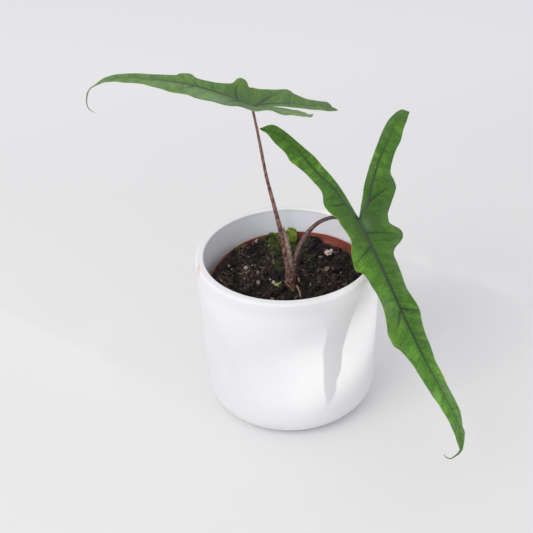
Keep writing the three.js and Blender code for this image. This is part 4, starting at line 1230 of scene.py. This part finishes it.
# Distances to the ribs, in half widths, and how far along the nearest one a point lies
def rib_fields(leaf, flat):
    rib = leaf["rib"]
    middle = np.column_stack([np.linspace(0, leaf["length"], 80), np.zeros(80)])
    distance, share = to_line(flat, middle)
    width = rib["wide"] + (rib["narrow"] - rib["wide"]) * share**0.8
    nearest = distance / width
    strength = 1 - share
    for half in ("plus", "minus"):
        distance, share = to_line(flat, smooth_line(leaf[half]["lobe_rib"], 50))
        lobe_width = rib["lobe_wide"] + (rib["lobe_narrow"] - rib["lobe_wide"]) * share**0.8
        closer = distance / lobe_width < nearest
        nearest = np.where(closer, distance / lobe_width, nearest)
        width = np.where(closer, lobe_width, width)
        strength = np.where(closer, 1 - share, strength)
    return {"rib": nearest, "width": width, "strength": strength}


def vein_fields(leaf, flat):
    vein = np.zeros(len(flat))
    lasting = np.clip(1 - (flat[:, 0] - 20) / leaf["vein_reach"], 0.25, 1)
    nearest = np.full(len(flat), 99.0)
    for line in leaf["veins"]:
        distance, share = to_line(flat, smooth_line(line))
        size = 0.8 - 0.3 * share
        vein = np.maximum(vein, np.exp(-((distance / size) ** 2)) * (1 - 0.9 * share**2.5))
        nearest = np.minimum(nearest, distance + 2.5 * share**3)
    return {"vein": vein * lasting, "vein_distance": nearest}


def edge_distance(leaf, flat):
    edge = np.full(len(flat), 99.0)
    for half in ("plus", "minus"):
        for side, by_length in (("margin", False), ("lobe_outer", True), ("lobe_inner", True)):
            line = read_rows(shares(leaf[half][side], by_length), np.linspace(0, 1, 160))
            edge = np.minimum(edge, to_line(flat, line)[0])
    return edge


# Soft oval patches on the flat drawing: place a, v, half length, half width, strength
def spotted(flat, rows):
    total = np.zeros(len(flat))
    for a, v, long, wide, amount in rows:
        far = ((flat[:, 0] - a) / long) ** 2 + ((flat[:, 1] - v) / wide) ** 2
        total = np.maximum(total, amount * np.exp(-far))
    return total


# The smooth leaf's normals at its points
def corner_normals(base, faces):
    normal = np.zeros_like(base)
    for count in (3, 4):
        group = np.array([f for f in faces if len(f) == count])
        if not len(group):
            continue
        first, second = base[group[:, 2]] - base[group[:, 0]], base[group[:, -1]] - base[group[:, 1]]
        if count == 3:
            first, second = base[group[:, 1]] - base[group[:, 0]], first
        for corner in range(count):
            np.add.at(normal, group[:, corner], np.cross(first, second))
    return unit(normal)


# The leaf's relief: heights of its forms in millimetres, and the widths over which two of them fade
RELIEF = {
    "quilt": 0.55, "quilt_width": 3.2, "rib": 0.42, "groove": 0.18, "vein": 0.28, "ripple": 0.55,
    "ripple_width": 5.0, "crease": 0.16, "fine_crease": 0.07, "sunk": 0.2,
}


# How far the upper face stands above the smooth leaf, and the ribs' share of that
def leaf_relief(fields, spot, seed):
    inside = np.clip(fields["edge"] / 3.0, 0, 1)
    near = np.minimum(fields["rib"] * fields["width"], fields["vein_distance"] * 1.4)
    quilt = RELIEF["quilt"] * (1 - np.exp(-((near / RELIEF["quilt_width"]) ** 2))) * inside
    ridge = RELIEF["rib"] * fields["width"] * np.sqrt(np.clip(1 - fields["rib"] ** 2, 0, 1))
    groove = -RELIEF["groove"] * np.exp(-((fields["rib"] - 1.35) / 0.35) ** 2)
    sunk = -RELIEF["vein"] * fields["vein"]
    near_edge = np.clip(1 - fields["edge"] / RELIEF["ripple_width"], 0, 1)
    ripple = RELIEF["ripple"] * near_edge * smooth_noise(spot, 6.5, seed)
    crease = RELIEF["crease"] * smooth_noise(spot, 3.1, seed + 1) * inside
    crease = crease + RELIEF["fine_crease"] * smooth_noise(spot, 1.2, seed + 2) * inside
    return quilt + ridge + groove + sunk + ripple + crease - RELIEF["sunk"], ridge + groove


BLADE_THICKNESS = 0.55
EDGE_THICKNESS = 0.22


# Both faces of a leaf: the lower one is smoother and has keels under the ribs
def leaf_faces(base, normal, fields, spot, seed):
    raised, rib_relief = leaf_relief(fields, spot, seed)
    top = base + normal * raised[:, None]
    thick = EDGE_THICKNESS + (BLADE_THICKNESS - EDGE_THICKNESS) * np.clip(fields["edge"] / 1.2, 0, 1)
    keel = (0.35 + 1.05 * fields["strength"]) * np.sqrt(np.clip(1 - (fields["rib"] / 1.1) ** 2, 0, 1))
    keel = keel * np.clip(fields["edge"] / 1.0, 0, 1)
    below = top - normal * (thick + keel + 0.25 * fields["vein"])[:, None]
    return np.concatenate([top, below - normal * rib_relief[:, None] * 0.5])


# Faces of both sides and of the rim that joins them
def closed_faces(faces, count):
    edges = dict.fromkeys(edge for face in faces for edge in zip(face, face[1:] + face[:1]))
    rim = [(j, i, count + i, count + j) for i, j in edges if (j, i) not in edges]
    return faces + [tuple(count + i for i in face[::-1]) for face in faces] + rim


# What the leaf's material reads at each point of the flat drawing
def leaf_values(leaf, flat, fields, spot):
    a, v = flat.T
    plus = v > 0
    tip = np.zeros(len(flat))
    for tip_a, tip_v, reach in leaf["tips"]:
        tip = np.maximum(tip, np.clip(1.4 - np.hypot(a - tip_a, v - tip_v) / reach, 0, 1))
    # Painted light and shade by half and along a, less where shade is painted beside the midrib
    glow = np.where(plus, read_rows(leaf["painted_light_plus"], a)[:, 0], read_rows(leaf["painted_light_minus"], a)[:, 0])
    beside = np.exp(-((v / 6.0) ** 2)) * np.where(plus, *leaf["shade_beside_rib"]) * (a > 0)
    # Painted sheen near the margin, broken into patches, and patches of painted sheen
    margin = np.exp(-((fields["edge"] - 2.0) / 3.0) ** 2) * np.where(plus, *leaf["painted_sheen_margin"])
    patchy = 0.6 + 0.8 * smooth_noise(spot, 11.0, leaf["seed"] + 5)
    return {
        **{label: fields[label] for label in ("rib", "strength", "vein", "edge")},
        "core": 0.75 * np.exp(-((np.hypot(a - 4, v) / 24) ** 2)),
        "glow": np.clip(glow - beside, 0, 1),
        "haze": np.clip(margin * patchy + spotted(flat, leaf["painted_sheen_spots"]), 0, 0.6),
        "gleam": spotted(flat, leaf["painted_highlight_spots"]),
        "knot": spotted(flat, [[-1.5, 0, 3.2, 2.6, 1.0]]),
        "tip": tip,
        "flat": spot,
        "slant": np.column_stack([a - 0.55 * abs(v), v, np.where(plus, 5.0, 40.0)]),
    }


def leaf_blade(name, node, leaf, material):
    flat, faces = flat_blade(leaf)
    fields = {**rib_fields(leaf, flat), **vein_fields(leaf, flat), "edge": edge_distance(leaf, flat)}
    base = Posture(leaf).place(flat[:, 0], flat[:, 1])
    spot = np.column_stack([flat, np.full(len(flat), 7.0 * leaf["seed"])])
    points = leaf_faces(base, corner_normals(base, faces), fields, spot, leaf["seed"])
    values = leaf_values(leaf, flat, fields, spot)
    both = {label: np.concatenate([value, value]) for label, value in values.items()}
    both["upper"] = np.repeat([1.0, 0.0], len(flat))
    faces = closed_faces(faces, len(flat))
    add_piece(name, points, faces, material, "leaf", replaces=[node], attributes=both)


# A smooth line through rows that begin with x, y, z, and the lengths along it
def smooth_path(rows, steps):
    rows = np.asarray(rows, float)
    run = running(np.linalg.norm(np.diff(rows[:, :3], axis=0), axis=1))
    place = np.linspace(0, run[-1], steps + 1)
    return place, read_rows(np.column_stack([run, rows]), place)


def stalk_tube(rows, steps, sides, seed):
    place, line = smooth_path(rows, steps)
    centre, radius = line[:, :3], line[:, 3:]
    tangent = unit(np.gradient(centre, axis=0))
    normal = np.zeros_like(tangent)
    normal[0] = unit(np.cross(tangent[0], [1.0, 0, 0.1]))
    for k in range(1, len(place)):
        normal[k] = unit(normal[k - 1] - (normal[k - 1] @ tangent[k]) * tangent[k])
    lengths, angle = np.meshgrid(place, circle(sides), indexing="ij")
    wobble = np.stack([lengths * 0.5, 2.0 * np.cos(angle), 2.0 * np.sin(angle)], -1)
    size = 1 + 0.07 * smooth_noise(wobble, 1.6, seed) + 0.03 * np.sin(7 * angle + 0.15 * lengths)
    points, faces = tube(centre, normal, np.cross(tangent, normal), radius * size)
    way = np.stack([lengths, angle * radius, np.full_like(angle, 13.0 * seed)], -1)
    return points, faces, way.reshape(-1, 3)


# Heights between which the stalks' tints go over, in millimetres
PALE_FROM, SOIL_LINE, LOW_END, HIGH_FROM = 112, 105, 150, 195


# What the stalk's material reads, from the heights of its points
def stalk_values(points, way, sheath):
    height = points[:, 2]
    return {
        "way": way,
        "sheath": sheath * np.clip((height - PALE_FROM) / 22, 0, 1),
        "foot": np.clip((SOIL_LINE - height) / 7, 0, 1) * 0.8,
        "low": np.clip((LOW_END - height) / 30, 0, 1),
        "high": np.clip((height - HIGH_FROM) / 45, 0, 1),
    }


def stalks():
    material = stalk_material("stalk_mottled", (0.20, 0.082, 0.075), (0.30, 0.15, 0.13),
                              (0.034, 0.014, 0.018), 0.36)
    stalk, faces, way = stalk_tube(UPPER_STALK, 190, 30, 3)
    sheath, sheath_faces, sheath_way = stalk_tube(UPPER_SHEATH, 60, 22, 5)
    faces = faces + [tuple(i + len(stalk) for i in face) for face in sheath_faces]
    values, sheath_values = stalk_values(stalk, way, 0.0), stalk_values(sheath, sheath_way, 1.0)
    values = {label: np.concatenate([values[label], sheath_values[label]]) for label in values}
    add_piece("upper_leaf_petiole", np.concatenate([stalk, sheath]), faces, material, "stalk",
              replaces=["upper_leaf_stalk"], attributes=values)
    material = stalk_material("stalk_arched", (0.080, 0.035, 0.033), (0.135, 0.073, 0.063),
                              (0.024, 0.013, 0.014), 0.45)
    points, faces, way = stalk_tube(LOWER_STALK, 110, 28, 8)
    none = np.zeros(len(points))
    values = {**stalk_values(points, way, 0.0), "foot": none, "high": none}
    add_piece("lower_leaf_petiole", points, faces, material, "stalk", replaces=["lower_leaf_stalk"],
              attributes=values)


# Dry strands on the soil: points as x, y and height above it, thickness, tone
STRANDS = [
    ([[6.3, -8.5, 1.2], [7.9, -11.9, 0.9], [8.6, -15.5, 0.9], [8.8, -19.9, 0.6]], 1.8, 0.35),
    ([[8.2, 3.2, 1.6], [8.5, 1.8, 1.4], [8.9, 0.1, 0.9]], 2.3, 0.2),
    ([[17.7, -1.3, 1.4], [17.2, -3.2, 1.3], [16.5, -5.6, 0.7]], 1.4, 1.0),
    ([[-37.3, 24.8, 0.7], [-35, 21.8, 0.8], [-32.7, 18.4, 0.5]], 0.5, 0.0),
    ([[-21.9, 13.5, 0.7], [-18.4, 14.6, 1.1], [-15.2, 18.6, 0.8]], 0.7, 0.1),
]
# The tiny seedling, in the same way
SHOOTS = [
    ([[-9.8, -7.4, 2.2], [-8.4, -6.6, 2.8], [-6.9, -5.4, 3.1], [-5.4, -4.2, 3.3]], 2.3, 1.0),
    ([[-8.2, -7.4, 2.2], [-7.4, -9.4, 1.4], [-5.8, -12.0, 1.0]], 0.7, 0.0),
]
# Pale chips: x, y, height above the soil, size
PALE_CHIPS = [(-11.3, -6.4, 1.9, (1.6, 1.0, 2.9)), (-13.8, -2.4, 1.4, (0.8, 0.5, 1.0))]
# A dry strand that leans on the stem's foot
LEANING_STRAND = [[-2.7, -11.2, 110.5], [0.6, -12.6, 106.1], [4.3, -13.6, 101.8]]


def lay_strands(gathered, rows, steps, sides, taper):
    for path, thick, tone in rows:
        path = np.array(path)
        raised = on_soil(path[:, 0], path[:, 1]) + np.outer(path[:, 2], [0, 0, 1])
        gathered.add(*strand(smooth_path(raised, steps)[1], thick, sides, taper), tone=tone)


# What lies about the stem: dry strands, pale chips and a tiny seedling
def litter():
    pale, dry, sprout = Gathered(), Gathered(), Gathered()
    for x, y, rise, size in PALE_CHIPS:
        points, faces = grain_shape(91, 2, 0.3)
        pale.add(points * size + soil_spot(x, y, rise), faces, tone=1.0)
    dry.add(*strand(smooth_path(LEANING_STRAND, 12)[1], 0.95, 6, 0.6), tone=0.3)
    lay_strands(dry, STRANDS, 12, 6, 0.55)
    lay_strands(sprout, SHOOTS, 8, 8, 0.2)
    chalky = plain_material("pale_chip", (0.30, 0.235, 0.165), (0.48, 0.40, 0.30), 500, 0.85)
    straw = plain_material("dry_strand", (0.16, 0.088, 0.052), (0.36, 0.235, 0.145), 300, 0.8)
    green = plain_material("seedling", (0.24, 0.34, 0.06), (0.42, 0.52, 0.13), 500, 0.5)
    pale.piece("pale_chips", chalky, "soil")
    dry.piece("dry_litter", straw, "soil")
    sprout.piece("seedling", green, "moss")


def roots():
    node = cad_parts["corm_and_roots"]
    node.data.materials.clear()
    node.data.materials.append(plain_material("corm_skin", (0.12, 0.07, 0.04), (0.30, 0.2, 0.12), 220, 0.8))


# Camera: where it stands, the way back from its target, its roll and its lens
CAMERA_PLACE = (-0.0161, -0.6372, 0.5384)
CAMERA_BACK = (0.0, -0.8341, 0.5517)
CAMERA_ROLL = math.radians(-2.62)
FOCAL_PIXELS, FRAME_PIXELS, SENSOR = 1000, 533, 36


def camera():
    back = Vector(CAMERA_BACK).normalized()
    right = Vector((1, 0, 0))
    up = back.cross(right)
    rolled_right = math.cos(CAMERA_ROLL) * right + math.sin(CAMERA_ROLL) * up
    rolled_up = math.cos(CAMERA_ROLL) * up - math.sin(CAMERA_ROLL) * right
    data = bpy.data.cameras.new("camera")
    data.sensor_width = SENSOR
    data.lens = FOCAL_PIXELS / FRAME_PIXELS * SENSOR
    data.clip_start, data.clip_end = 0.01, 20
    seen = bpy.data.objects.new("camera", data)
    turn = Matrix((rolled_right, rolled_up, back)).transposed()
    seen.matrix_world = Matrix.Translation(CAMERA_PLACE) @ turn.to_4x4()
    bpy.context.scene.collection.objects.link(seen)
    bpy.context.scene.camera = seen


FLOOR_HALF = 6


def floor():
    s = Shader("pale_floor")
    place = s.place()
    color = s.mix(s.noise(place, 3, 3), (0.865, 0.865, 0.865), (0.895, 0.895, 0.89))
    # Painted light: the floor lighter towards the back
    color = s.over(color, (0.94, 0.94, 0.955), s.part(place, "Y"), 0.30, 0.75)
    mesh = bpy.data.meshes.new("floor")
    corners = [(x * FLOOR_HALF, y * FLOOR_HALF, 0) for x, y in ((-1, -1), (1, -1), (1, 1), (-1, 1))]
    mesh.from_pydata(corners, [], [(0, 1, 2, 3)])
    mesh.materials.append(s.finish(color, 0.7))
    ground = bpy.data.objects.new("floor", mesh)
    bpy.context.scene.collection.objects.link(ground)


# Lights: places and targets in metres, cones and turns in degrees
ROOM = {"strength": 0.745, "color": (0.978, 0.968, 1.0, 1)}
KEY = {
    "watts": 15.5, "size": 1.6, "color": (1.0, 0.99, 0.955),
    "place": (-1.3, -1.1, 1.5), "target": (0, 0, 0.1),
}
BEAM_COLOR = (1.0, 0.99, 0.965)
MOUTH_FILL = {"watts": 21.0, "soft": 0.05, "cone": 6.2, "target": (0.006, 0.012, 0.120), "squeeze": 0.58}
BEAMS = [
    {"name": "fill_0", "place": (-0.9, -0.45, 0.95), **MOUTH_FILL},
    {"name": "fill_1", "place": (-0.6, -0.8, 1.05), **MOUTH_FILL},
    {"name": "fill_2", "place": (-0.2, -1.0, 0.95), **MOUTH_FILL},
    {"name": "left_wall_fill", "place": (0.611, -0.382, 1.033), "watts": 9.0, "soft": 0.05, "cone": 3.6,
     "target": (-0.057, 0.004, 0.117), "squeeze": 0.5},
    {"name": "low_window", "place": (1.56, -1.33, 0.304), "watts": 62.0, "soft": 0.014, "cone": 8.6,
     "target": (0.0021, -0.0190, 0.0654), "turn": 20.6, "squeeze": 0.285},
]


def aimed(data, name, place, target, turn=0.0, squeeze=1.0):
    lamp = bpy.data.objects.new(name, data)
    lamp.location = place
    lamp.rotation_mode = "QUATERNION"
    facing = (Vector(target) - Vector(place)).to_track_quat("-Z", "Y")
    lamp.rotation_quaternion = facing @ Quaternion((0, 0, 1), math.radians(turn))
    lamp.scale = (1, squeeze, 1)
    bpy.context.scene.collection.objects.link(lamp)


def beam(name, watts, soft, cone, **aim):
    data = bpy.data.lights.new(name, "SPOT")
    data.energy = watts
    data.color = BEAM_COLOR
    data.shadow_soft_size = soft
    data.spot_size = math.radians(cone)
    data.spot_blend = 1.0
    aimed(data, name, **aim)


# A pale room, a broad soft key, fills into the pot's mouth and a low band that throws the leaf's shadow
def lights():
    world = bpy.data.worlds.new("studio")
    world.use_nodes = True
    background = world.node_tree.nodes["Background"]
    background.inputs["Color"].default_value = ROOM["color"]
    background.inputs["Strength"].default_value = ROOM["strength"]
    bpy.context.scene.world = world
    key = bpy.data.lights.new("key", "AREA")
    key.shape = "DISK"
    key.size = KEY["size"]
    key.energy = KEY["watts"]
    key.color = KEY["color"]
    aimed(key, "key", KEY["place"], KEY["target"])
    for row in BEAMS:
        beam(**row)
    bpy.context.scene.view_settings.view_transform = "Standard"


LEAVES = [("lower_leaf", LOWER_LEAF, LOWER_LOOK), ("upper_leaf", UPPER_LEAF, UPPER_LOOK)]


def plant():
    cover_pot()
    nursery_pot()
    soil_bed()
    soil_crumbs()
    soil_fibres()
    bark_chips()
    perlite_grains()
    moss()
    roots()
    stalks()
    for name, leaf, look in LEAVES:
        leaf_blade(f"{name}_lamina", f"{name}_blade", leaf, leaf_material(f"{name}_green", look))
    litter()


camera()
floor()
lights()
plant()
